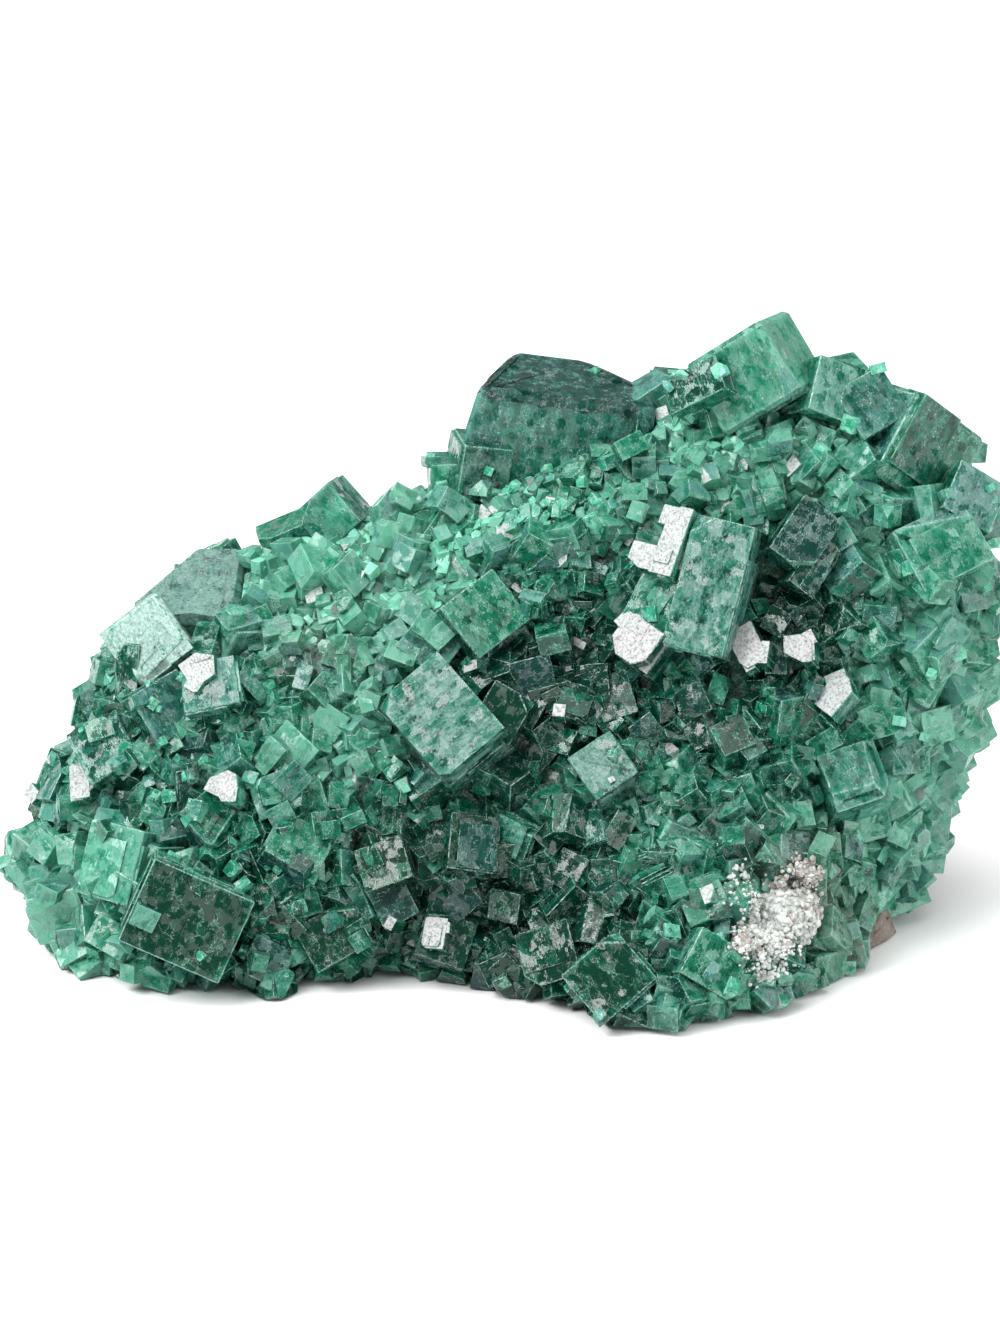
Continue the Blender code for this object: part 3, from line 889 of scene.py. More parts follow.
@dataclass
class CrystalCrust:
    """The crust of green fluorite: its large crystals, the smaller ones between them, and their ground."""

    lump: Lump
    cutter: CrystalCutter = field(default_factory=CrystalCutter)
    looks: CrustLooks = field(default_factory=CrustLooks)
    pattern_reach: float = 500.0
    filler_throw: Throw = Throw(14, 9000, -0.8, 0.35, 90.0, (-0.12, 0.12), (0.8, 1.15))
    filler_count: int = 160
    filler_edges: tuple[float, float] = (5.6, 9.4)
    filler_spacing: float = 0.80
    filler_reach: float = 0.42
    filler_shrink: float = 0.92
    filler_fine_shrink: float = 0.24
    small_throw: Throw = Throw(31, 42000, -0.85, 0.5, 130.0, (-0.05, 0.42), (0.55, 1.45))
    small_edges: tuple[float, float] = (2.5, 5.2)
    fine_edges: tuple[float, float] = (1.3, 2.6)
    small_lean: float = 1.4
    small_spacing: float = 0.52
    small_rock_gap: float = 0.4 * MM
    small_base_gap: float = 0.3 * MM
    small_sink: float = 0.30
    bare_gap: float = 0.45
    fine_weight: float = 2.0
    unseen_weight: float = 0.6
    few_breaks: tuple[int, ...] = (0, 1, 2)
    many_breaks: tuple[int, ...] = (1, 2, 3, 4)
    many_breaks_below: float = 3.2
    perched_count: int = 620
    perched_edges: tuple[float, float] = (0.7, 2.2)
    perched_spread: tuple[float, float] = (0.75, 1.3)
    perched_breaks: tuple[int, ...] = (1, 2, 3)
    perched_on_bare: float = 0.06
    perched_reach: float = 0.4
    perched_turned_away: float = -0.5
    perched_rock_depth: float = 6.0 * MM
    cluster_reach: float = 0.55
    cluster_sink: tuple[float, float] = (0.15, 0.5)
    cluster_least_height: float = 0.2
    cluster_in_turn: float = 0.6
    cluster_lean: float = 11.0
    cluster_spread: tuple[float, float] = (0.7, 1.3)
    cluster_breaks: tuple[int, ...] = (0, 1, 1, 2)
    cluster_bare_gap: float = 0.42
    filler_clusters: tuple[int, int] = (4, 6)
    fine_clusters: int = 7
    filler_cluster_share: tuple[float, float] = (0.26, 0.60)
    glint_clusters: int = 3
    glint_cluster_share: tuple[float, float] = (0.3, 0.5)
    large_clusters: tuple[int, int] = (3, 6)
    large_cluster_share: tuple[float, float] = (0.16, 0.40)
    standing_breaks: tuple[int, int] = (1, 3)
    clean_breaks: tuple[int, int] = (3, 5)
    steps_large_above: float = 9.5
    steps_large: tuple[int, int] = (2, 5)
    steps_other: tuple[int, int] = (0, 3)
    step_rise: tuple[float, float, float] = (0.12, 0.15, 0.05)
    step_thickness: float = 0.3
    step_cover: tuple[float, float] = (0.35, 0.88)
    step_at_edge: float = 0.6
    step_edge_gap: float = 0.3
    step_tone: float = 0.06
    standing_tone: float = 0.20
    seated_share: float = 0.36
    ground_gap: float = 0.3 * MM
    ground_tone: float = -0.2
    proud_share: float = 0.12
    flat_cut_clearance: float = 1.0 * MM
    crust_margin: float = 1.5 * MM
    corner_out_share: float = 0.7
    corner_lean: float = 0.45
    face_lean: float = 0.2
    druse_spot: tuple[float, float] = (45.0, -40.5)
    druse_sink: float = 0.6
    druse_reach: float = 6.2
    spur_centre: Triple = (57.5, -7.5, 3.0)
    spur_reach: float = 9.0
    fine_patches: tuple[Patch, ...] = (
        Patch(-14, 20, 20, 1.0),
        Patch(-34, 14, 12, 0.9),
        Patch(8, 26, 14, 0.9),
        Patch(12, 6, 9, 0.7),
        Patch(24, -22, 12, 0.5),
        Patch(-30, -14, 12, 0.4),
        Patch(34, 33, 15, 0.8),
        Patch(54, 28, 12, 0.5),
    )
    def large_table(self) -> tuple[dict, ...]:
        """The large crystals, each where the eye sees it, as in the solids.

        Returns:
            Rows of right and up in the view plane, size, turn, and how far forward (stand) or at which
            world y (back) it lies, in mm, with its edge cut, its slices seen edge-on, the parts that it is
            grown from in its own axes, and how its faces look.
        """
        frosted, glint, dark, pale = Habit.FROSTED, Habit.GLINT, Habit.DARK, Habit.PALE
        return (
            dict(
                right=-54.6, up=3.2, size=(11, 11.5, 13), turn=(-14, 12, 38), stand=1.5, cut=0.8,
                habit=frosted, clean=True, frost=0.84, shades=(-0.1, -0.1, -0.1),
            ),
            dict(
                right=-50.0, up=8.2, size=(21, 14, 17), turn=(-6, -42, 0), stand=-3.5, cut=1.0,
                slices=((-56.6, 11.8, -0.65, 0.76), (-59.4, 6.8, -0.96, 0.29), (-41.0, 18.0, 0.62, 0.78)),
                clean=True, frost=0.66, shades=(-0.1, -0.2, -0.1),
            ),
            dict(
                right=8.5, up=35.2, size=(31, 24, 18), turn=(-4, -26, -8), back=19, cut=1.4,
                slices=((-7.0, 33.5, -0.95, 0.31), (-3.5, 44.4, -0.69, 0.73), (12.5, 49.4, 0.42, 0.91)),
                clean=True, frost=0.12, cool=0.80, shades=(-0.10, -0.25, -0.08), habit=dark,
            ),
            dict(right=-3.5, up=32.5, size=(8, 9, 12), turn=(12, -20, -5), back=14, habit=dark),
            dict(
                right=41.0, up=47.0, size=(15, 13, 14), turn=(-24, -12, 28), back=8, cut=0.8,
                clean=True, frost=0.2, shades=(0.05, -0.3, -0.12),
            ),
            dict(
                right=64.5, up=35.0, size=(17, 15, 15), turn=(36, -14, -26), back=9, cut=0.8,
                clean=True, frost=0.05, shades=(-0.1, -0.1, -0.1),
            ),
            dict(
                right=34.4, up=12.4, size=(10, 21, 12), turn=(-14, 4, -14), stand=4.0,
                clean=True, frost=0.42,
            ),
            dict(
                right=27.4, up=19.0, size=(6.5, 11.5, 8), turn=(-22, 18, -14), stand=5.5, habit=glint,
                parts=(
                    (1.2, 0.0, (3.9, 11.5, 8)), (-1.2, -3.4, (7.4, 4.2, 7.9)), (0.4, 3.9, (4.8, 3.2, 7.8)),
                ),
            ),
            dict(right=26.0, up=9.0, size=(9, 9, 9), turn=(-14, 8, -26), stand=3.5),
            dict(right=22.6, up=3.0, size=(8, 7.5, 8), turn=(-20, 17, -32), stand=4.5, habit=glint),
            dict(
                right=47.8, up=20.6, size=(7.5, 10.5, 7), turn=(14, 6, -36), stand=3.5,
                habit=dark, clean=True,
            ),
            dict(right=49.6, up=16.2, size=(5, 10, 7), turn=(16, 2, -36), stand=3.0, habit=dark, clean=True),
            dict(
                right=-8.6, up=-9.5, size=(16.5, 12.5, 13), turn=(-8, 16, -48), stand=2.5,
                clean=True, frost=0.42, cool=0.25,
            ),
            dict(right=0.5, up=-8.0, size=(7, 8, 8), turn=(-2, 10, -30), stand=3.0, habit=dark),
            dict(right=-3.6, up=7.4, size=(11, 10, 10), turn=(16, 12, 36), stand=1.5, habit=pale),
            dict(
                right=-50.0, up=-39.5, size=(17, 14, 14), turn=(4, -6, -24), stand=3.5,
                shades=(0, 0, -0.25),
            ),
            dict(right=-74.0, up=-31.0, size=(9, 9, 9), turn=(-30, 16, 14), back=-2),
            dict(right=-69.0, up=-40.0, size=(8, 9, 8), turn=(-24, -4, 8), back=-7),
            dict(right=-68.0, up=-20.0, size=(9, 11, 9), turn=(-34, 10, -18), back=0),
            dict(right=-58.5, up=-2.0, size=(4, 11, 6), turn=(-20, 0, -4), stand=2.5),
            dict(right=-54.0, up=-7.0, size=(9, 9, 8), turn=(18, 8, 30), stand=1.5, habit=dark),
            dict(right=-45.5, up=-4.0, size=(9, 8, 8), turn=(-12, 18, 12), stand=1.5),
            dict(right=-62.0, up=-13.5, size=(9, 10, 9), turn=(-20, 14, 34), stand=1.0),
            dict(right=-60.0, up=-31.5, size=(10, 12, 9), turn=(-28, 6, -12), stand=1.5),
            dict(right=-46.5, up=-25.0, size=(9, 8, 8), turn=(20, 20, 38), stand=1.0),
            dict(
                right=56.0, up=-18.5, size=(10, 9.5, 9), turn=(8, 20, 18), stand=2.5,
                habit=dark, cool=0.4, clean=True,
            ),
            dict(right=69.5, up=18.0, size=(13, 11, 11), turn=(10, 14, 26), stand=2.0),
            dict(right=74.0, up=26.0, size=(9, 9, 9), turn=(24, 14, -30), back=2),
            dict(right=74.5, up=12.5, size=(9, 8, 9), turn=(30, 8, 10), back=2, habit=frosted),
            dict(right=72.0, up=2.0, size=(7, 12, 8), turn=(34, 0, -10), back=1),
            dict(right=69.5, up=-9.0, size=(9, 9, 9), turn=(28, 12, 22), back=0),
            dict(right=66.5, up=-27.0, size=(8, 11, 8), turn=(24, -6, -6), back=2),
            dict(right=63.0, up=-36.0, size=(8, 7, 8), turn=(20, 6, 20), back=-1),
            dict(right=18.0, up=-50.0, size=(11, 10, 10), turn=(-8, 8, 42), stand=1.5),
            dict(right=9.0, up=-46.5, size=(9, 9, 9), turn=(-20, 10, 18), stand=1.5),
            dict(right=33.0, up=-47.5, size=(9, 8, 8), turn=(18, 4, -30), stand=1.0, habit=dark),
            dict(right=-5.0, up=-29.0, size=(8, 9, 8), turn=(14, 14, -8), stand=2.0, habit=dark),
            dict(right=-17.5, up=-32.0, size=(8, 7, 8), turn=(-16, 10, 20), stand=2.0),
            dict(right=-33.0, up=-30.0, size=(9, 8, 8), turn=(20, 24, -34), stand=1.5, habit=dark),
            dict(right=-26.0, up=-43.0, size=(10, 8, 8), turn=(-8, 4, 30), stand=1.5),
            dict(right=-9.0, up=-43.5, size=(8, 9, 8), turn=(10, 12, -20), stand=1.5, habit=dark),
            dict(right=17.0, up=-17.0, size=(8, 8.5, 8), turn=(-10, 20, 36), stand=2.5, habit=frosted),
            dict(
                right=-26.5, up=24.5, size=(8, 8, 9), turn=(-14, -12, 40), back=12,
                clean=True, shades=(-0.3, -0.4, -0.4),
            ),
            dict(
                right=-33.0, up=21.5, size=(11, 4, 9), turn=(8, -18, 24), back=13,
                clean=True, shades=(-0.5, -0.5, -0.6),
            ),
            dict(right=-8.5, up=30.5, size=(6, 6, 8), turn=(6, -18, 2), back=13),
            dict(right=24.5, up=42.5, size=(7, 7, 9), turn=(20, -14, 34), back=17, habit=dark),
            dict(
                right=29.5, up=42.0, size=(12, 8, 11), turn=(-8, -18, -6), back=20,
                shades=(-0.3, -0.4, -0.3),
            ),
            dict(right=52.0, up=43.5, size=(9, 9, 9), turn=(26, 6, -18), back=6),
            dict(right=58.5, up=41.0, size=(9, 9, 9), turn=(10, 14, 30), back=6),
            dict(right=33.0, up=44.0, size=(10, 6, 9), turn=(-30, 12, 24), back=5, shades=(-0.2, -0.3, -0.2)),
            dict(right=-46.0, up=14.0, size=(9, 8, 10), turn=(-30, -24, 20), back=14),
            dict(right=54.0, up=43.5, size=(10, 9, 10), turn=(20, -26, 14), back=16),
            dict(right=-63.5, up=-5.5, size=(6, 7, 7), turn=(-36, -10, 24), back=4, cut=1.4, habit=frosted),
            dict(right=77.0, up=23.5, size=(7, 9, 7), turn=(30, -6, 16), back=5, cut=1.4, habit=frosted),
            dict(right=-46.8, up=-0.8, size=(6.2, 5.4, 5), turn=(-20, 17, 38), stand=4.5, habit=glint),
            dict(right=-65.6, up=-19.0, size=(4.6, 6.4, 5), turn=(-20, 17, 10), stand=3.5, habit=glint),
            dict(right=-43.2, up=-19.3, size=(5.6, 4.8, 5), turn=(-20, 17, -24), stand=3.5, habit=glint),
            dict(right=40.0, up=2.6, size=(5.0, 7.4, 5), turn=(-20, 17, 30), stand=4.0, habit=glint),
            dict(right=48.0, up=2.2, size=(5.0, 5.0, 5), turn=(-17, 15, 6), stand=3.5, habit=glint),
            dict(right=54.0, up=-5.0, size=(4.6, 7.0, 5), turn=(-20, 17, -36), stand=3.5, habit=glint),
            dict(right=66.6, up=-19.2, size=(5.6, 6.4, 5), turn=(-20, 17, -36), back=-4, habit=glint),
            dict(right=-9.6, up=-43.0, size=(4.2, 5.4, 5), turn=(-20, 17, -4), stand=4.5, habit=glint),
        )

    def large(self, tree: BVHTree) -> list[Crystal]:
        """The large crystals of the table, seated on the lump."""
        crystals = []
        for row in self.large_table():
            ray = EYE.ray(row["right"], row["up"])
            if "back" in row:
                centre = EYE.place + ray * ((row["back"] * MM - EYE.place.y) / ray.y)
            else:
                centre = tree.ray_cast(EYE.place, ray)[0] + EYE.toward * row["stand"] * MM
            looks = {key: value for key, value in row.items() if key in CRYSTAL_LOOKS}
            crystals.append(Crystal(centre, EYE.turned(*row["turn"]), row["size"], **looks))
        return crystals

    @staticmethod
    def grown_parts(crystal: Crystal, rng: random.Random) -> list[Crystal]:
        """The crystal, or the smaller ones that it is grown from, with one level front face.

        Args:
            crystal: The crystal.
            rng: The source of the blocks at a glinting crystal's corners.

        Returns:
            One crystal or more, in the same turn.
        """
        parts = crystal.parts
        if crystal.habit is Habit.GLINT and not parts:
            wide, tall, deep = crystal.size
            parts = [(0.0, 0.0, (0.92 * wide, 0.94 * tall, deep))]
            side = rng.choice((-1.0, 1.0)) * 0.26 * wide
            rise = rng.choice((-1.0, 1.0)) * 0.26 * tall
            parts.append((side, rise, (0.62 * wide, 0.50 * tall, deep - 0.08)))
        if not parts:
            return [crystal]
        grown = []
        for x, y, size in parts:
            spin = Matrix.Rotation(0.0 if crystal.parts or not grown else rng.uniform(-0.6, 0.6), 3, "Z")
            centre = crystal.centre + crystal.turn @ Vector((x * MM, y * MM, 0.0))
            grown.append(replace(crystal, centre=centre, turn=crystal.turn @ spin, size=size, parts=()))
        return grown

    def random_turn(self, rng: random.Random, outward: Vector) -> Matrix:
        """A rotation with a corner, or less often a face, roughly along the outward direction.

        Args:
            rng: The source of the lean and the spin.
            outward: The direction.

        Returns:
            A 3x3 rotation.
        """
        corner = rng.random() < self.corner_out_share
        lean = self.corner_lean if corner else self.face_lean
        own = Vector((1.0, 1.0, 1.0)) if corner else Vector((0.0, 0.0, 1.0))
        own = (own.normalized() + scattered(lean, rng)).normalized()
        spin = Matrix.Rotation(rng.uniform(0, 2 * math.pi), 3, outward)
        return spin @ own.rotation_difference(outward).to_matrix()

    def fineness(self, point: Vector) -> float:
        """How fine the small crystals are at a point, from 0 to 1."""
        return min(1.0, patch_sum(self.fine_patches, *EYE.plane_spot(point)))

    def druse_centre(self, tree: BVHTree) -> Vector:
        """The middle of the quartz patch."""
        hit = tree.ray_cast(EYE.place, EYE.ray(*self.druse_spot))[0]
        return hit - EYE.toward * self.druse_sink * MM

    def fillers(self, bm: bmesh.types.BMesh, taken: Sequence[Crystal], bare: list) -> list[Crystal]:
        """The middle-sized crystals, thrown over the crust by the same seeded rule as in the solids.

        Args:
            bm: The lump.
            taken: The large crystals.
            bare: (centre, reach in mm) of each spot that stays bare.

        Returns:
            The crystals.
        """
        throw = self.filler_throw
        rng = random.Random(throw.seed)
        faces = throw.faces(bm)
        areas = [f.calc_area() for f in faces]
        kept = [(c.centre, self.filler_reach * min(c.size[:2])) for c in taken] + bare
        crystals = []
        for _ in range(throw.tries):
            if len(crystals) >= self.filler_count:
                break
            face = rng.choices(faces, areas)[0]
            point = spot_on(face, rng)
            edge = rng.uniform(*self.filler_edges)
            own_reach = self.filler_reach * edge
            if CONTACT.depth(point) > -self.crust_margin or point.z < self.flat_cut_clearance:
                continue
            if any((point - other).length < (reach + own_reach) * MM for other, reach in kept):
                continue
            outward = throw.outward(face, point)
            centre = point + outward * edge * rng.uniform(*throw.seat) * MM
            size = sides(edge, throw.spread, rng)
            kept.append((point, edge * (self.filler_spacing - self.filler_reach)))
            crystals.append(Crystal(centre, self.random_turn(rng, outward), size))
        return crystals

    def small(self, bm: bmesh.types.BMesh, taken: Sequence[Crystal], bare: list) -> list[Crystal]:
        """The small crystals that fill the crust between the others, finer in the fine patches.

        Args:
            bm: The lump.
            taken: The crystals that stand already.
            bare: (centre, reach in mm) of each spot that stays bare.

        Returns:
            The crystals.
        """
        throw = self.small_throw
        rng = random.Random(throw.seed)
        faces = throw.faces(bm)
        weights = []
        for face in faces:
            seen = face.normal.dot(EYE.toward) > 0.0
            fine = self.fineness(face.calc_center_median())
            weights.append(face.calc_area() * (1.0 + self.fine_weight * fine if seen else self.unseen_weight))
        kept = Neighbours(self.small_edges[1] * MM)
        crystals = []
        for face in rng.choices(faces, weights, k=throw.tries):
            point = spot_on(face, rng)
            fine = self.fineness(point)
            low, high = [s + (f - s) * fine for s, f in zip(self.small_edges, self.fine_edges)]
            edge = low + (high - low) * rng.random() ** self.small_lean
            if CONTACT.depth(point) > -self.small_rock_gap or point.z < self.small_base_gap:
                continue
            if any((point - other).length < reach * MM for other, reach in bare):
                continue
            outward = throw.outward(face, point)
            size = sides(edge, throw.spread, rng)
            centre = point + outward * min(size) * rng.uniform(*throw.seat) * MM
            margins = (self.small_sink * edge * MM, -self.bare_gap * edge * MM)
            if any(crystal.holds(centre, margins[crystal.bare]) for crystal in taken):
                continue
            room = 0.5 * self.small_spacing * MM
            if any((point - other).length < (wide + edge) * room for other, wide in kept.near(point)):
                continue
            kept.add(point, edge)
            breaks = rng.choice(self.few_breaks if edge > self.many_breaks_below else self.many_breaks)
            crystals.append(Crystal(centre, self.random_turn(rng, outward), size, breaks=breaks))
        return crystals

    def perched(self, taken: Sequence[Crystal]) -> list[Crystal]:
        """Small crystals that sit on the faces of the larger ones.

        Args:
            taken: The larger crystals.

        Returns:
            The crystals.
        """
        rng = random.Random(self.small_throw.seed + 1)
        crystals = []
        weights = [c.size[0] * c.size[1] * (self.perched_on_bare if c.bare else 1.0) for c in taken]
        for host in rng.choices(taken, weights, k=self.perched_count):
            axis = rng.randrange(3)
            own = Vector([rng.uniform(-self.perched_reach, self.perched_reach) * s * MM for s in host.size])
            own[axis] = rng.choice((-0.5, 0.5)) * host.size[axis] * MM
            centre = host.centre + host.turn @ own
            edge = rng.uniform(*self.perched_edges)
            outward = (host.turn.col[axis] * (1 if own[axis] > 0 else -1)).normalized()
            if outward.dot(EYE.toward) < self.perched_turned_away or centre.z < edge * MM:
                continue
            if CONTACT.depth(centre) > self.perched_rock_depth:
                continue
            if any(other is not host and other.holds(centre, 0.0) for other in taken):
                continue
            size = sides(edge, self.perched_spread, rng)
            turn = self.random_turn(rng, outward)
            crystals.append(Crystal(centre, turn, size, breaks=rng.choice(self.perched_breaks)))
        return crystals

    def cluster(
        self, host: Crystal, rng: random.Random, count: int, share: tuple[float, float],
    ) -> list[Crystal]:
        """Smaller crystals that grow out of a host's faces, many of them nearly in its own turn.

        Args:
            host: The crystal that they grow on.
            rng: The source of their places, turns and sizes.
            count: How many there are.
            share: The least and greatest edge, as a share of the host's.

        Returns:
            The crystals.
        """
        crystals = []
        edge = sum(host.size) / 3
        for _ in range(count):
            axis = rng.randrange(3)
            own = Vector([rng.uniform(-self.cluster_reach, self.cluster_reach) * s for s in host.size])
            own[axis] = rng.choice((-0.5, 0.5)) * host.size[axis]
            size = edge * rng.uniform(*share)
            own -= own.normalized() * size * rng.uniform(*self.cluster_sink)
            centre = host.centre + host.turn @ (own * MM)
            if centre.z < self.cluster_least_height * size * MM:
                continue
            if rng.random() < self.cluster_in_turn:
                lean = [math.radians(rng.gauss(0, self.cluster_lean)) for _ in range(3)]
                turn = host.turn @ Euler(lean).to_matrix()
            else:
                turn = self.random_turn(rng, (centre - host.centre).normalized())
            lengths = sides(size, self.cluster_spread, rng)
            crystals.append(Crystal(centre, turn, lengths, breaks=rng.choice(self.cluster_breaks)))
        return crystals

    def parallel_growths(self, host: Crystal, rng: random.Random) -> list[Crystal]:
        """Thin blocks in the host's own turn that make steps on its faces, as crystals grow.

        Args:
            host: The crystal that they grow on.
            rng: The source of their places and sizes.

        Returns:
            The blocks.
        """
        blocks = []
        least = min(host.size)
        steps = self.steps_large if least > self.steps_large_above else self.steps_other
        lowest, more, share_more = self.step_rise
        for _ in range(rng.randint(*steps)):
            axis = rng.randrange(3)
            sign = rng.choice((-1.0, 1.0))
            rise = rng.uniform(lowest, share_more * least + more)
            thick = self.step_thickness * host.size[axis]
            size, own = [0.0] * 3, [0.0] * 3
            for k, whole in enumerate(host.size):
                share = rng.uniform(*self.step_cover)
                size[k] = whole * share
                free = whole * (1 - share) / 2
                if rng.random() < self.step_at_edge:
                    own[k] = rng.choice((-1.0, 1.0)) * (free - self.step_edge_gap)
                else:
                    own[k] = rng.uniform(-free, free)
            size[axis] = thick
            own[axis] = sign * (host.size[axis] / 2 + rise - thick / 2)
            centre = host.centre + host.turn @ (Vector(own) * MM)
            tone = host.tone + rng.uniform(-self.step_tone, self.step_tone)
            blocks.append(replace(host, centre=centre, size=tuple(size), cut=0.0, breaks=1, tone=tone))
        return blocks

    def stands_out(self, crystal: Crystal, solid: BVHTree) -> bool:
        """Whether a small crystal's middle lies more than a little outside the solid.

        Args:
            crystal: The crystal.
            solid: The solid's search tree.

        Returns:
            True where it does.
        """
        near, normal, _, _ = solid.find_nearest(crystal.centre)
        return (crystal.centre - near).dot(normal) > self.proud_share * max(crystal.size) * MM

    def add_to(self, pot: Pot, crystal: Crystal, rng: random.Random) -> None:
        """Shapes one crystal and adds it to a pot.

        Args:
            pot: The mesh that it joins.
            crystal: The crystal.
            rng: The source of its chips and of how its faces differ.
        """
        bm = self.cutter.shape(crystal, rng)
        rows = self.looks.rows(bm, crystal, rng)
        place = Matrix.Translation(crystal.centre) @ crystal.turn.to_4x4()
        pot.add(bm, place, scattered(self.pattern_reach, rng), rows)

    def joined(
        self,
        name: str,
        crystals: Sequence[Crystal],
        finishes: Sequence[bpy.types.Material],
        rng: random.Random,
    ) -> bpy.types.Object:
        """Shapes many crystals and joins them in one piece.

        Args:
            name: The piece's name.
            crystals: The crystals.
            finishes: The clear and the frosted material.
            rng: The source of their chips and looks.

        Returns:
            The piece.
        """
        pot = Pot()
        for crystal in crystals:
            self.add_to(pot, crystal, rng)
        log.info("%s: %d crystals, %d faces", name, len(crystals), len(pot.faces))
        return pot.piece(name, finishes)

    def ground(self) -> bpy.types.Object:
        """The massive fluorite that the crystals grow out of.

        Returns:
            The piece.
        """
        bm = self.lump.bmesh()
        CONTACT.cut(bm, shift=-self.ground_gap)
        rows = []
        for face in bm.faces:
            tone = self.looks.tone_at(face.calc_center_median()) + self.ground_tone
            rows.append((0, dict(tone=tone, frost=0.15, rim=0.0, stain=0.15, cool=0.2)))
        pot = Pot()
        pot.add(bm, Matrix.Identity(4), Vector(), rows)
        pot.verge = [0.0] * len(pot.points)
        return pot.piece("fluorite_ground", [FluoriteFinish("fluorite_massive", clear=0.0).material()])

    def grow(self, large: Sequence[Crystal], fillers: Sequence[Crystal], rng: random.Random) -> list[Crystal]:
        """Grows clusters out of the standing crystals, and says how broken those are.

        Args:
            large: The large crystals.
            fillers: The middle-sized crystals, which also shrink in the fine patches.
            rng: The source of the clusters and of the breaks.

        Returns:
            The clusters' crystals.
        """
        clusters = []
        for crystal in fillers:
            fine = self.fineness(crystal.centre)
            count = rng.randint(*self.filler_clusters) + round(self.fine_clusters * fine)
            clusters += self.cluster(crystal, rng, count, self.filler_cluster_share)
            shrink = self.filler_shrink - self.filler_fine_shrink * fine
            crystal.size = tuple(shrink * side for side in crystal.size)
            crystal.breaks = rng.randint(*self.standing_breaks)
        for crystal in large:
            if crystal.habit is Habit.GLINT:
                clusters += self.cluster(crystal, rng, self.glint_clusters, self.glint_cluster_share)
                crystal.breaks = 1 if crystal.parts else 2
            elif not crystal.clean:
                count = rng.randint(*self.large_clusters)
                clusters += self.cluster(crystal, rng, count, self.large_cluster_share)
                crystal.breaks = rng.randint(*self.standing_breaks)
            else:
                crystal.breaks = rng.randint(*self.clean_breaks)
        return clusters

    def build(self) -> list[bpy.types.Object]:
        """Builds every piece of the crust.

        Returns:
            The pieces, dressed and riding on the part.
        """
        bm = self.lump.bmesh()
        tree = BVHTree.FromBMesh(bm)
        large = self.large(tree)
        bare = [(Vector(self.spur_centre) * MM, self.spur_reach), (self.druse_centre(tree), self.druse_reach)]
        fillers = self.fillers(bm, large, bare)
        standing = large + fillers
        small = self.small(bm, standing, bare)
        perched = self.perched(standing)
        bm.free()
        rng = random.Random(self.small_throw.seed + 2)
        clusters = self.grow(large, fillers, rng)
        large = [part for crystal in large for part in self.grown_parts(crystal, rng)]
        standing = large + fillers
        for crystal in standing:
            crystal.tone = 0.0 if crystal.clean else rng.uniform(-self.standing_tone, self.standing_tone)
        blocks = [block for host in standing for block in self.parallel_growths(host, rng) if not host.slices]
        solid = solid_tree("fluorite_crystals")
        clusters, small, perched = (
            [c for c in group if not self.stands_out(c, solid)] for group in (clusters, small, perched)
        )
        bare_ones = [c for c in large if c.bare]
        clusters = [
            c for c in clusters
            if not any(b.holds(c.centre, -self.cluster_bare_gap * min(c.size) * MM) for b in bare_ones)
        ]
        finishes = [
            FluoriteFinish("fluorite_clear").material(),
            FluoriteFinish("fluorite_frosted", clear=0.15).material(),
        ]
        ground = self.ground()
        pieces = [self.joined("fluorite_large_crystals", standing + blocks, finishes, rng)]
        hosts = joined_tree([ground, pieces[0]])
        clusters, perched = (
            [c for c in group if hosts.find_nearest(c.centre)[3] < self.seated_share * min(c.size) * MM]
            for group in (clusters, perched)
        )
        pieces.append(self.joined("fluorite_clustered_crystals", clusters, finishes, rng))
        pieces.append(self.joined("fluorite_small_crystals", small + perched, finishes, rng))
        pieces.append(ground)
        for piece in pieces:
            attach(piece, ROOT)
        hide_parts("fluorite_crystals")
        return pieces


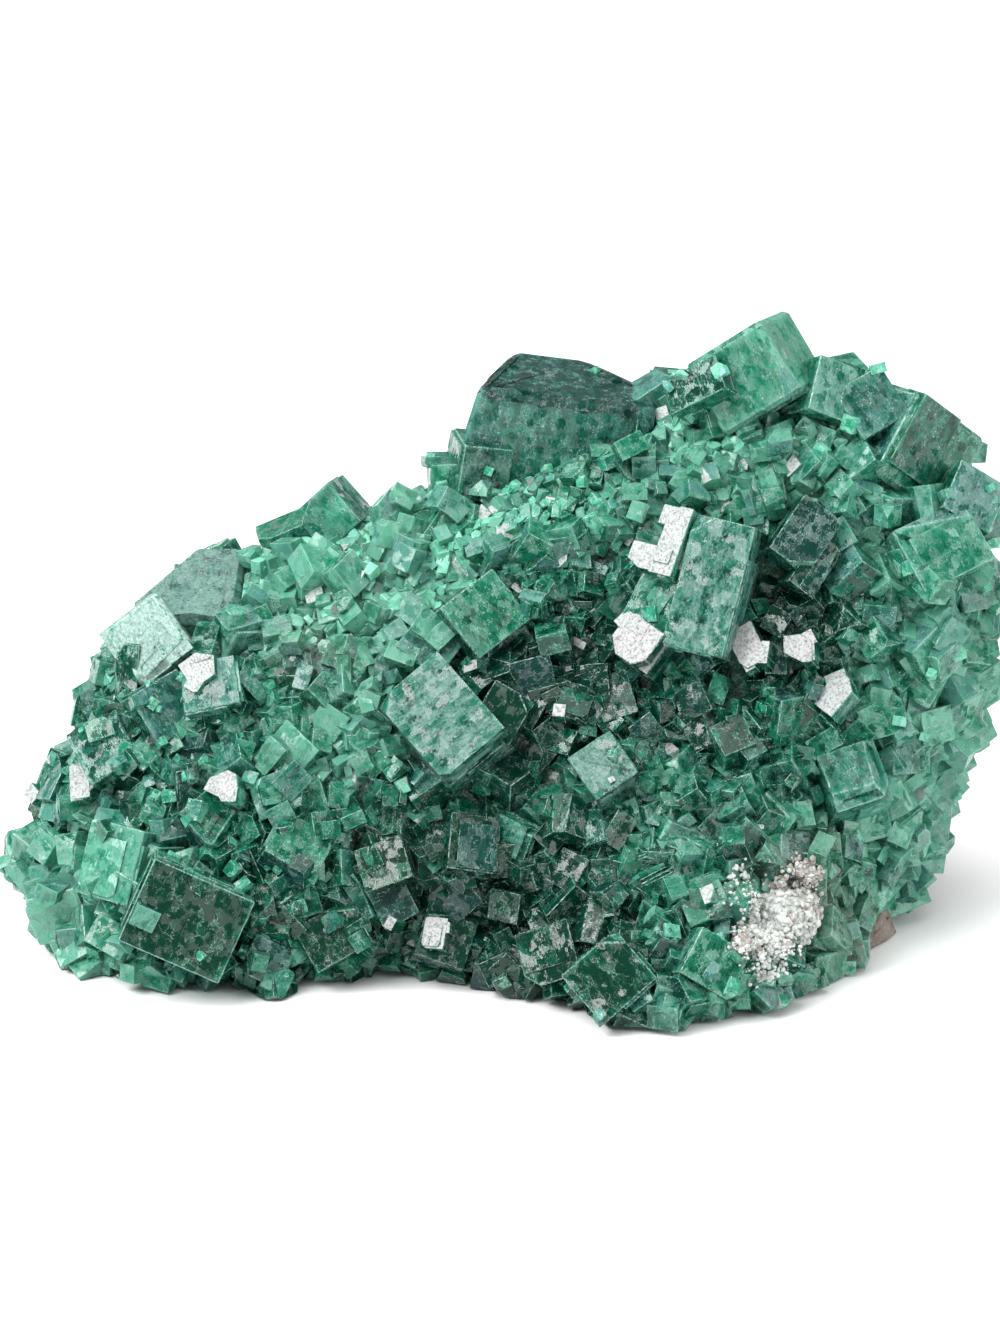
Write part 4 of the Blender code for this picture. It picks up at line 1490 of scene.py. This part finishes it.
class Graph:
    """Adds nodes to a tree and links them, with one short call each."""

    def __init__(self, tree: bpy.types.NodeTree) -> None:
        """Starts on an empty or new tree."""
        self.tree = tree

    def feed(self, node: bpy.types.Node, inputs: Inputs) -> None:
        """Sets or links a node's inputs.

        Args:
            node: The node.
            inputs: Values, or sockets to link from, by the input's name or number.
        """
        for key, value in inputs.items():
            if isinstance(value, Socket):
                self.tree.links.new(value, node.inputs[key])
            else:
                node.inputs[key].default_value = value

    def node(self, kind: str, inputs: Optional[Inputs] = None, **settings: object) -> bpy.types.Node:
        """Adds one node.

        Args:
            kind: The node's type, without the ShaderNode at its front.
            inputs: Values, or sockets to link from, by the input's name or number.
            settings: The node's own properties.

        Returns:
            The node.
        """
        node = self.tree.nodes.new("ShaderNode" + kind)
        for key, setting in settings.items():
            setattr(node, key, setting)
        self.feed(node, inputs or {})
        return node

    def math(self, operation: str, first: Value, second: Value = 0.0, clamp: bool = False) -> Socket:
        """A Math node's result."""
        return self.node("Math", {0: first, 1: second}, operation=operation, use_clamp=clamp).outputs[0]

    def ramp(self, value: Value, low: Value, high: Value, bottom: float = 0.0, top: float = 1.0) -> Socket:
        """A value moved from the range low to high to the range bottom to top, smoothly and clamped."""
        inputs = {"Value": value, "From Min": low, "From Max": high, "To Min": bottom, "To Max": top}
        return self.node("MapRange", inputs, interpolation_type="SMOOTHSTEP").outputs[0]

    def mix(self, share: Value, first: Value, second: Value) -> Socket:
        """Two colours mixed.

        Args:
            share: The second colour's share.
            first: A colour of three values, or a socket.
            second: The same for the second colour.

        Returns:
            The mixed colour.
        """
        colours = [value if isinstance(value, Socket) else (*value, 1.0) for value in (first, second)]
        inputs = {0: share, 6: colours[0], 7: colours[1]}
        return self.node("Mix", inputs, data_type="RGBA", clamp_factor=True).outputs[2]

    def vector(self, operation: str, first: Value, second: Optional[Value] = None) -> Socket:
        """Vector maths.

        Args:
            operation: The Vector Math node's operation.
            first: The first vector.
            second: The second vector, or the factor of SCALE.

        Returns:
            The resulting vector.
        """
        inputs = {0: first}
        if second is not None:
            inputs[3 if operation == "SCALE" else 1] = second
        return self.node("VectorMath", inputs, operation=operation).outputs[0]

    def finish(self, **outputs: Socket) -> None:
        """Links the outputs of a node group."""
        self.feed(self.tree.nodes.new("NodeGroupOutput"), outputs)

    def noise(self, vector: Value, scale: float, detail: float, rough: float) -> Socket:
        """Noise from 0 to 1."""
        inputs = {"Vector": vector, "Scale": scale, "Detail": detail, "Roughness": rough}
        return self.node("TexNoise", inputs).outputs[0]

    def sum(self, *values: Value) -> Socket:
        """The sum of two or more values."""
        return reduce(lambda total, value: self.math("ADD", total, value), values)

    def times(self, *values: Value) -> Socket:
        """The product of two or more values."""
        return reduce(lambda total, value: self.math("MULTIPLY", total, value), values)

    def spread(self, value: Value, width: float) -> Socket:
        """A value from 0 to 1 made to range over width, with 0 in the middle."""
        return self.times(self.math("SUBTRACT", value, 0.5), width)

    def group(self, tree: bpy.types.NodeTree, **inputs: Value) -> bpy.types.Node:
        """Uses a node group, with values or sockets for its inputs."""
        node = self.node("Group", node_tree=tree)
        self.feed(node, inputs)
        return node

    def attribute(self, name: str, vector: bool = False) -> Socket:
        """A mesh attribute's value."""
        node = self.node("Attribute", attribute_name=name, attribute_type="GEOMETRY")
        return node.outputs["Vector" if vector else "Fac"]


def shader_group(
    name: str, inputs: dict[str, tuple[str, Value]], outputs: dict[str, str],
) -> tuple[Graph, bpy.types.Node]:
    """Starts a shader node group with named sockets.

    Args:
        name: The group's name.
        inputs: Each input's socket type and default value.
        outputs: Each output's socket type.

    Returns:
        The group's graph, and its input node.
    """
    tree = bpy.data.node_groups.new(name, "ShaderNodeTree")
    for key, (kind, value) in inputs.items():
        socket = tree.interface.new_socket(key, in_out="INPUT", socket_type=kind)
        if value is not None:
            socket.default_value = value
    for key, kind in outputs.items():
        tree.interface.new_socket(key, in_out="OUTPUT", socket_type=kind)
    graph = Graph(tree)
    return graph, tree.nodes.new("NodeGroupInput")


class SharedEffects:
    """The shader node groups that more than one finish uses, each built once."""

    made: dict[str, bpy.types.NodeTree] = {}

    @classmethod
    def frost(cls) -> bpy.types.NodeTree:
        """Etched, sugary frosting: a mask that breaks up as its amount falls.

        Returns:
            The node group.
        """
        if "frost" not in cls.made:
            graph, source = shader_group(
                "frosting",
                {
                    "Coarse": ("NodeSocketFloat", 0.5),
                    "Fine": ("NodeSocketFloat", 0.5),
                    "Amount": ("NodeSocketFloat", 0.5),
                },
                {"Mask": "NodeSocketFloat"},
            )
            coarse = graph.times(source.outputs["Coarse"], 0.7)
            grain = graph.math("ADD", coarse, graph.times(source.outputs["Fine"], 0.3))
            limit = graph.math("SUBTRACT", 0.82, graph.times(source.outputs["Amount"], 0.46))
            graph.finish(Mask=graph.ramp(grain, graph.math("SUBTRACT", limit, 0.28), limit))
            cls.made["frost"] = graph.tree
        return cls.made["frost"]

    @classmethod
    def fracture(cls) -> bpy.types.NodeTree:
        """Flat fracture patches: each has its own shade and slight tilt, with pale cracks between them.

        Returns:
            The node group.
        """
        if "fracture" not in cls.made:
            graph, source = shader_group(
                "fractures",
                {
                    "Vector": ("NodeSocketVector", None),
                    "Warp": ("NodeSocketVector", None),
                    "Scale": ("NodeSocketFloat", 0.75),
                    "Tilt": ("NodeSocketFloat", 0.5),
                    "Etch": ("NodeSocketFloat", 0.5),
                },
                {"Shade": "NodeSocketFloat", "Crack": "NodeSocketFloat", "Normal": "NodeSocketVector"},
            )
            vector, warp = source.outputs["Vector"], source.outputs["Warp"]
            bent = graph.vector("SCALE", warp, source.outputs["Etch"])
            place = graph.vector("ADD", vector, graph.vector("SCALE", warp, 1.4))
            inputs = {"Vector": place, "Scale": source.outputs["Scale"]}
            patch = graph.node("TexVoronoi", inputs).outputs["Color"]
            rims = graph.node("TexVoronoi", inputs, feature="DISTANCE_TO_EDGE").outputs["Distance"]
            centred = graph.vector("SUBTRACT", patch, (0.5, 0.5, 0.5))
            tilt = graph.vector("ADD", graph.vector("SCALE", centred, source.outputs["Tilt"]), bent)
            normal = graph.node("NewGeometry").outputs["Normal"]
            unit = graph.vector("NORMALIZE", graph.vector("ADD", normal, tilt))
            shade = graph.node("SeparateColor", {0: patch}).outputs[0]
            graph.finish(Shade=shade, Crack=graph.ramp(rims, 0.0, 0.045, 1.0, 0.0), Normal=unit)
            cls.made["fracture"] = graph.tree
        return cls.made["fracture"]


def new_material(name: str) -> tuple[bpy.types.Material, Graph, bpy.types.Node]:
    """A material with one Principled BSDF.

    Args:
        name: The material's name.

    Returns:
        The material, its graph and its shader.
    """
    material = bpy.data.materials.new(name)
    material.use_nodes = True
    graph = Graph(material.node_tree)
    return material, graph, material.node_tree.nodes["Principled BSDF"]


def lay_colour(shader: bpy.types.Node, graph: Graph, **sockets: Value) -> None:
    """Links or sets the shader's inputs, whose names have _ for a space."""
    graph.feed(shader, {key.replace("_", " "): value for key, value in sockets.items()})


@dataclass(frozen=True)
class FluoriteFinish:
    """Green fluorite: see-through, with veils, fractures, growth steps, frosted faces, pale edge lines that
    are partly chipped edges and partly painted edge glints, painted glints on faces that mirror the key
    light, and painted light through thin edges.
    """

    name: str
    clear: float = 0.50
    tilt: float = 0.45
    etch: float = 0.55
    drawn: Triple = (1.15, 0.50, 1.15)
    darkest: Triple = (0.001, 0.052, 0.028)
    middle: Triple = (0.012, 0.245, 0.140)
    mint: Triple = (0.172, 0.590, 0.408)
    cool_dark: Triple = (0.010, 0.070, 0.066)
    cool_light: Triple = (0.110, 0.330, 0.310)
    frost_colour: Triple = (0.165, 0.370, 0.315)
    edge_colour: Triple = (0.480, 0.650, 0.585)
    # Off-white of strongly frosted faces, and of the painted glints where frost is above 1.
    white: Triple = (0.560, 0.545, 0.550)
    grit: Triple = (0.055, 0.180, 0.145)
    glint_grit: Triple = (0.200, 0.225, 0.225)
    stain_colour: Triple = (0.215, 0.185, 0.150)

    def material(self) -> bpy.types.Material:
        """Builds the material.

        Returns:
            The material.
        """
        material, graph, shader = new_material(self.name)
        own = graph.attribute("own", vector=True)
        tone, frost, verge = (graph.attribute(name) for name in ("tone", "frost", "verge"))
        rim, stain = graph.attribute("rim"), graph.attribute("stain")
        drawn = graph.vector("MULTIPLY", own, self.drawn)
        veil = graph.noise(drawn, 0.45, 3.0, 0.66)
        swirl = graph.node("TexNoise", {"Vector": drawn, "Scale": 2.6, "Detail": 2.0, "Roughness": 0.75})
        streak = swirl.outputs[0]
        grit = graph.noise(own, 2.5, 1.0, 0.8)
        warp = graph.vector("SUBTRACT", swirl.outputs["Color"], (0.5, 0.5, 0.5))
        inputs = dict(Vector=own, Warp=warp, Tilt=self.tilt, Etch=self.etch)
        fracture = graph.group(SharedEffects.fracture(), **inputs)
        level = graph.sum(
            tone,
            graph.spread(veil, 1.05),
            graph.spread(streak, 0.62),
            graph.spread(fracture.outputs["Shade"], 0.40),
            graph.spread(grit, 0.20),
            # The ring along each face's edges is lighter: painted light through the thinner edges, with
            # darker centres where thicker.
            graph.times(graph.math("POWER", verge, 2.0), 0.24),
        )
        deep = graph.mix(graph.ramp(level, 0.0, 0.5), self.darkest, self.middle)
        body = graph.mix(graph.ramp(level, 0.42, 1.05), deep, self.mint)
        cool = graph.times(graph.attribute("cool"), graph.ramp(veil, 0.3, 0.6, 0.5, 1.0))
        cooled = graph.mix(graph.ramp(level, 0.1, 0.9), self.cool_dark, self.cool_light)
        body = graph.mix(cool, body, cooled)
        stained = graph.times(stain, graph.ramp(streak, 0.35, 0.6))
        body = graph.mix(stained, body, self.stain_colour)
        thin = graph.times(graph.math("POWER", verge, 2.0), -0.15)
        amount = graph.sum(graph.times(frost, graph.ramp(veil, 0.3, 0.7, 0.55, 1.35)), thin)
        broad = graph.times(graph.math("ADD", veil, streak), 0.5)
        mask = graph.group(SharedEffects.frost(), Coarse=broad, Fine=grit, Amount=amount).outputs["Mask"]
        # Frosting colour; where frost is above 1 it becomes the off-white of the painted glints.
        frost_and_glint_paint = graph.mix(graph.ramp(frost, 0.6, 1.2), self.frost_colour, self.white)
        speck = graph.times(graph.math("ADD", grit, streak), 0.5)
        spots = graph.times(graph.ramp(speck, 0.55, 0.38), graph.ramp(frost, 0.7, 1.3, 0.8, 0.9))
        spot_colour = graph.mix(graph.ramp(frost, 0.7, 1.2), self.grit, self.glint_grit)
        frost_and_glint_paint = graph.mix(spots, frost_and_glint_paint, spot_colour)
        bright = graph.math("MAXIMUM", graph.ramp(tone, -0.25, 0.32, 0.30, 1.0), graph.ramp(frost, 0.5, 1.0))
        colour = graph.mix(graph.times(mask, 0.9, bright), body, frost_and_glint_paint)
        # Pale lines on the bevelled rims: partly chipped edges, partly painted edge glints.
        chipped_and_glinting_edges = graph.times(rim, graph.ramp(streak, 0.46, 0.60, 0.05, 0.85))
        crack = graph.times(fracture.outputs["Crack"], graph.ramp(veil, 0.44, 0.6, 0.0, 0.7))
        colour = graph.mix(graph.math("MAXIMUM", chipped_and_glinting_edges, crack), colour, self.edge_colour)
        fleck = graph.math("ADD", grit, graph.ramp(veil, 0.4, 0.62, -0.02, 0.06))
        fleck = graph.times(graph.ramp(fleck, 0.70, 0.78, 0.0, 0.8), bright)
        colour = graph.mix(fleck, colour, self.edge_colour)
        chalky = graph.times(mask, graph.ramp(frost, 0.6, 1.2, 0.25, 0.6))
        rough = graph.math("ADD", graph.ramp(veil, 0.35, 0.7, 0.07, 0.24), chalky, clamp=True)
        lay_colour(
            shader, graph, Base_Color=colour, Roughness=rough, Normal=fracture.outputs["Normal"],
            IOR=1.434, Transmission_Weight=self.clear, Metallic=0.0,
        )
        absorb = graph.node("VolumeAbsorption", {"Color": (0.16, 0.76, 0.52, 1), "Density": 90.0})
        out = material.node_tree.nodes["Material Output"]
        graph.tree.links.new(absorb.outputs[0], out.inputs["Volume"])
        return material


@dataclass(frozen=True)
class RockFinish:
    """Rough host rock: grey-brown, with rusty stains, pale grains and dark pits."""

    dark: Triple = (0.075, 0.064, 0.056)
    brown: Triple = (0.230, 0.190, 0.160)
    pale: Triple = (0.420, 0.390, 0.350)
    rust: Triple = (0.250, 0.135, 0.075)

    def material(self) -> bpy.types.Material:
        """Builds the material.

        Returns:
            The material.
        """
        material, graph, shader = new_material("host_rock_weathered")
        spot = graph.node("TexCoord").outputs["Object"]
        broad = graph.noise(spot, 70.0, 7.0, 0.72)
        grain = graph.noise(spot, 900.0, 3.0, 0.7)
        rust = graph.noise(spot, 34.0, 6.0, 0.7)
        colour = graph.mix(graph.ramp(broad, 0.36, 0.60), self.dark, self.brown)
        colour = graph.mix(graph.ramp(grain, 0.48, 0.70, 0.0, 0.45), colour, self.pale)
        colour = graph.mix(graph.ramp(rust, 0.52, 0.66, 0.0, 0.55), colour, self.rust)
        height = graph.math("ADD", graph.times(broad, 0.7), graph.times(grain, 0.3))
        bump = graph.node("Bump", {"Height": height, "Strength": 0.9, "Distance": 0.0012})
        lay_colour(shader, graph, Base_Color=colour, Roughness=0.88, Normal=bump.outputs[0])
        return material


@dataclass(frozen=True)
class QuartzFinish:
    """White quartz: sugary and half see-through, with a pinkish-brown stain on the stained grains."""

    white: Triple = (0.760, 0.790, 0.760)
    grey: Triple = (0.440, 0.480, 0.450)
    stain_colour: Triple = (0.340, 0.275, 0.245)

    def material(self) -> bpy.types.Material:
        """Builds the material.

        Returns:
            The material.
        """
        material, graph, shader = new_material("white_quartz")
        own = graph.attribute("own", vector=True)
        tone, stain = graph.attribute("tone"), graph.attribute("stain")
        cloud = graph.noise(own, 1.3, 4.0, 0.6)
        level = graph.math("ADD", tone, graph.math("SUBTRACT", cloud, 0.5))
        colour = graph.mix(graph.ramp(level, 0.1, 0.7), self.grey, self.white)
        stained = graph.times(stain, graph.ramp(cloud, 0.3, 0.6))
        colour = graph.mix(stained, colour, self.stain_colour)
        bump = graph.node("Bump", {"Height": cloud, "Strength": 0.4, "Distance": 0.0003})
        lay_colour(
            shader, graph, Base_Color=colour, Roughness=0.32, Normal=bump.outputs[0],
            IOR=1.544, Transmission_Weight=0.25,
        )
        return material


@dataclass
class HostRock:
    """The host rock behind the crust, with its ledges, pits and spur."""

    fine_depth: float = 2.3 * MM
    grain_scale: float = 260.0
    grain_share: float = 0.45
    chip_scale: float = 120.0
    chip_share: float = 0.9
    chip_warp: float = 0.4
    chip_warp_scale: float = 90.0
    crack_scale: float = 60.0
    crack_width: float = 0.10
    crack_share: float = 5.0
    base_fade: float = 2.0 * MM
    contact_touch: float = 0.1 * MM
    spur_from: float = 50.0 * MM
    longest_edge: float = 1.3 * MM
    sharp_angle: float = 24.0

    def push(self, point: Vector) -> float:
        """How deep the relief cuts in at a point, in metres."""
        fade = min(1.0, point.z / self.base_fade)
        grain = 0.5 + 0.5 * noise.fractal(point * self.grain_scale, 1.0, 2.1, 4)
        warp = noise.noise_vector(point * self.chip_warp_scale) * self.chip_warp
        chips = noise.voronoi(point * self.chip_scale + warp)[0]
        crack = max(0.0, self.crack_width - abs(noise.noise(point * self.crack_scale))) * self.crack_share
        return (self.grain_share * grain + self.chip_share * chips[0] + crack) * self.fine_depth * fade

    def build(self) -> list[bpy.types.Object]:
        """Builds the rock from its solid, with finer relief.

        Returns:
            The piece.
        """
        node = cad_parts["host_rock"]
        bm = bmesh.new()
        bm.from_mesh(node.data)
        bmesh.ops.remove_doubles(bm, verts=bm.verts, dist=1e-5)
        bmesh.ops.triangulate(bm, faces=bm.faces)
        for _ in range(3):
            long_edges = [e for e in bm.edges if e.calc_length() > self.longest_edge]
            bmesh.ops.subdivide_edges(bm, edges=long_edges, cuts=1, use_grid_fill=True)
            bmesh.ops.triangulate(bm, faces=bm.faces)
        bm.normal_update()
        moved = []
        for vert in bm.verts:
            on_contact = CONTACT.depth(vert.co) < self.contact_touch and vert.co.x < self.spur_from
            if vert.co.z < BASE_TOUCH or on_contact:
                moved.append(vert.co.copy())
            else:
                moved.append(vert.co - vert.normal * self.push(vert.co))
        for vert, place in zip(bm.verts, moved):
            vert.co = place
        mesh = bpy.data.meshes.new("host_rock_surface")
        bm.to_mesh(mesh)
        bm.free()
        mesh.materials.append(RockFinish().material())
        mesh.shade_smooth()
        mesh.set_sharp_from_angle(angle=math.radians(self.sharp_angle))
        obj = linked("host_rock_surface", mesh)
        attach(obj, ROOT)
        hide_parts("host_rock")
        log.info("host_rock_surface: %d faces", len(mesh.polygons))
        return [obj]


@dataclass
class QuartzDruse:
    """The patch of white quartz: many small rounded grains and short points over a lump."""

    seed: int = 8
    grains: int = 860
    grain_edges: tuple[float, float] = (0.4, 1.45)
    stained_least: float = 0.04
    stained_more: float = 0.5
    stained_patch: Patch = Patch(51, -37, 4, 1.0)
    pattern_reach: float = 50.0
    strays: int = 3400
    stray_spread: float = 0.6
    stray_share: tuple[float, float] = (0.35, 0.85)
    stray_patches: tuple[Scatter, ...] = (
        Scatter(43.4, -42.6, 3.2, 3.0, stain=0.06, height=2.0),
        Scatter(42.2, -38.6, 1.7, 0.7, stain=0.10, height=1.0),
        Scatter(48.8, -33.2, 2.0, 0.7, stain=0.75, height=0.3),
        Scatter(45.8, -35.2, 1.6, 0.6, stain=0.50, height=0.5),
        Scatter(39.0, -35.0, 2.6, 0.12, stain=0.05),
        Scatter(39.6, -43.6, 1.8, 0.7, stain=0.60, height=0.6),
        Scatter(42.4, -48.0, 2.6, 0.20, stain=0.05),
    )

    def build(self, crust: Sequence[bpy.types.Object]) -> list[bpy.types.Object]:
        """Builds the patch around its solid, with stray grains on the crystals beside it.

        Args:
            crust: The pieces that the strays can lie on.

        Returns:
            The piece.
        """
        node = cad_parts["quartz_druse"]
        bm = bmesh.new()
        bm.from_mesh(node.data)
        bmesh.ops.triangulate(bm, faces=bm.faces)
        faces = list(bm.faces)
        areas = [f.calc_area() for f in faces]
        rng = random.Random(self.seed)
        pot = Pot()
        for face in rng.choices(faces, areas, k=self.grains):
            point = spot_on(face, rng)
            likely = self.stained_least + self.stained_more * self.stained_patch.share(*EYE.plane_spot(point))
            self.add_grain(pot, point, face.normal, rng, float(rng.random() < likely))
        tree = joined_tree(crust)
        amounts = [patch.amount for patch in self.stray_patches]
        for patch in rng.choices(self.stray_patches, amounts, k=self.strays):
            spot = [rng.gauss(middle, self.stray_spread * patch.radius) for middle in (patch.right, patch.up)]
            stain = float(rng.random() < patch.stain)
            share = rng.uniform(*self.stray_share)
            point, normal, _, _ = tree.ray_cast(EYE.place, EYE.ray(*spot))
            heap = patch.height * patch.share(*spot) / patch.amount * rng.random()
            if point and point.z > self.grain_edges[1] * MM:
                self.add_grain(pot, point + EYE.toward * heap * MM, normal, rng, stain, share)
        core = bmesh.new()
        core.from_mesh(node.data)
        rows = [(0, dict(tone=0.35, stain=0.0)) for _ in core.faces]
        pot.add(core, Matrix.Identity(4), Vector(), rows)
        bm.free()
        piece = pot.piece("quartz_druse_grains", [QuartzFinish().material()])
        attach(piece, ROOT)
        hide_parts("quartz_druse")
        log.info("quartz_druse_grains: %d grains, %d faces", self.grains, len(pot.faces))
        return [piece]

    def add_grain(
        self, pot: Pot, point: Vector, normal: Vector, rng: random.Random, stain: float, share: float = 1.0,
    ) -> None:
        """Adds one grain, a small irregular crystal.

        Args:
            pot: The mesh that it joins.
            point: Where it sits.
            normal: The direction that it grows in.
            rng: The source of its size, form and shade.
            stain: How brown it is.
            share: Its size, as a share of a usual grain's.
        """
        edge = rng.uniform(*self.grain_edges) * share * MM
        grain = bmesh.new()
        bmesh.ops.create_icosphere(grain, subdivisions=1, radius=edge / 2)
        stretch = Vector([rng.uniform(0.65, 1.35) for _ in range(3)])
        for vert in grain.verts:
            vert.co = vert.co * stretch * rng.uniform(0.75, 1.2)
        if share == 1.0:
            bmesh.ops.bevel(grain, geom=grain.edges[:], offset=0.06 * edge, segments=1, affect="EDGES")
        turn = normal.to_track_quat("Z", "Y").to_matrix() @ Matrix.Rotation(rng.uniform(0, 6.28), 3, "Z")
        place = Matrix.Translation(point + normal * edge * 0.1) @ turn.to_4x4()
        tone = rng.uniform(0.25, 0.9)
        rows = [(0, dict(tone=tone, stain=stain)) for _ in grain.faces]
        pot.add(grain, place, scattered(self.pattern_reach, rng), rows)


@dataclass(frozen=True)
class Studio:
    """The pale floor, the soft lights and the camera."""

    floor_size: float = 6.0
    floor_drop: float = 0.3 * MM
    floor_colour: Triple = (0.93, 0.93, 0.93)
    world_strength: float = 0.24
    key_distance: float = 0.75
    key_size: float = 0.42
    key_power: float = 6.0
    top_place: Triple = (-0.3, -0.1, 1.5)
    top_size: float = 2.4
    top_power: float = 43.0
    back_place: Triple = (-0.45, 0.50, 0.85)
    back_size: float = 0.5
    back_power: float = 2.0
    fill_place: Triple = (0.75, -0.35, 0.30)
    fill_size: float = 0.6
    fill_power: float = 4.2

    def camera(self) -> None:
        """Puts the camera at the eye."""
        data = bpy.data.cameras.new("camera")
        data.lens = EYE.lens
        data.sensor_width = 36.0
        data.clip_start = 0.05
        obj = linked("camera", data)
        obj.location = EYE.place
        obj.rotation_euler = (-EYE.toward).to_track_quat("-Z", "Y").to_euler()
        bpy.context.scene.camera = obj

    def softbox(self, name: str, place: Vector, size: float, power: float) -> None:
        """Adds one square area light that faces the specimen.

        Args:
            name: The light's name.
            place: Where it stands.
            size: The length of its sides.
            power: Its power in watts.
        """
        data = bpy.data.lights.new(name, "AREA")
        data.shape = "SQUARE"
        data.size = size
        data.energy = power
        obj = linked(name, data)
        obj.location = place
        obj.rotation_euler = (EYE.centre - place).to_track_quat("-Z", "Y").to_euler()

    def lights(self) -> None:
        """Lights the specimen: a key that the glinting faces mirror, a top light and one from behind."""
        mirror = 2 * GLINT_WAY.dot(EYE.toward) * GLINT_WAY - EYE.toward
        self.softbox("key", EYE.centre + mirror * self.key_distance, self.key_size, self.key_power)
        self.softbox("top", EYE.centre + Vector(self.top_place), self.top_size, self.top_power)
        self.softbox("back", EYE.centre + Vector(self.back_place), self.back_size, self.back_power)
        self.softbox("fill", EYE.centre + Vector(self.fill_place), self.fill_size, self.fill_power)
        world = bpy.data.worlds.new("studio")
        world.use_nodes = True
        background = world.node_tree.nodes["Background"]
        background.inputs["Color"].default_value = (1.0, 1.0, 1.0, 1.0)
        background.inputs["Strength"].default_value = self.world_strength
        bpy.context.scene.world = world

    def floor(self) -> None:
        """Lays the pale floor just under the cut base."""
        mesh = bpy.data.meshes.new("floor")
        half = self.floor_size / 2
        corners = [(-half, -half), (half, -half), (half, half), (-half, half)]
        mesh.from_pydata([(x, y, -self.floor_drop) for x, y in corners], [], [(0, 1, 2, 3)])
        material, graph, shader = new_material("floor")
        lay_colour(shader, graph, Base_Color=(*self.floor_colour, 1), Roughness=0.7)
        mesh.materials.append(material)
        linked("floor", mesh)

    def build(self) -> None:
        """Builds the whole stage."""
        self.camera()
        self.lights()
        self.floor()
        bpy.context.scene.view_settings.view_transform = "Standard"
        paths = bpy.context.scene.cycles
        paths.max_bounces = 4
        paths.transmission_bounces = 3
        paths.diffuse_bounces = 2
        paths.glossy_bounces = 1


def main() -> None:
    """Builds every piece in order."""
    logging.basicConfig(level=logging.INFO, format="%(name)s: %(message)s")
    noise.seed_set(NOISE_SEED)
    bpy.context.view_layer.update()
    Studio().build()
    pieces = CrystalCrust(Lump()).build()
    pieces += QuartzDruse().build(pieces)
    pieces += HostRock().build()
    log.info("%d pieces", len(pieces))


if __name__ == "__main__":
    main()
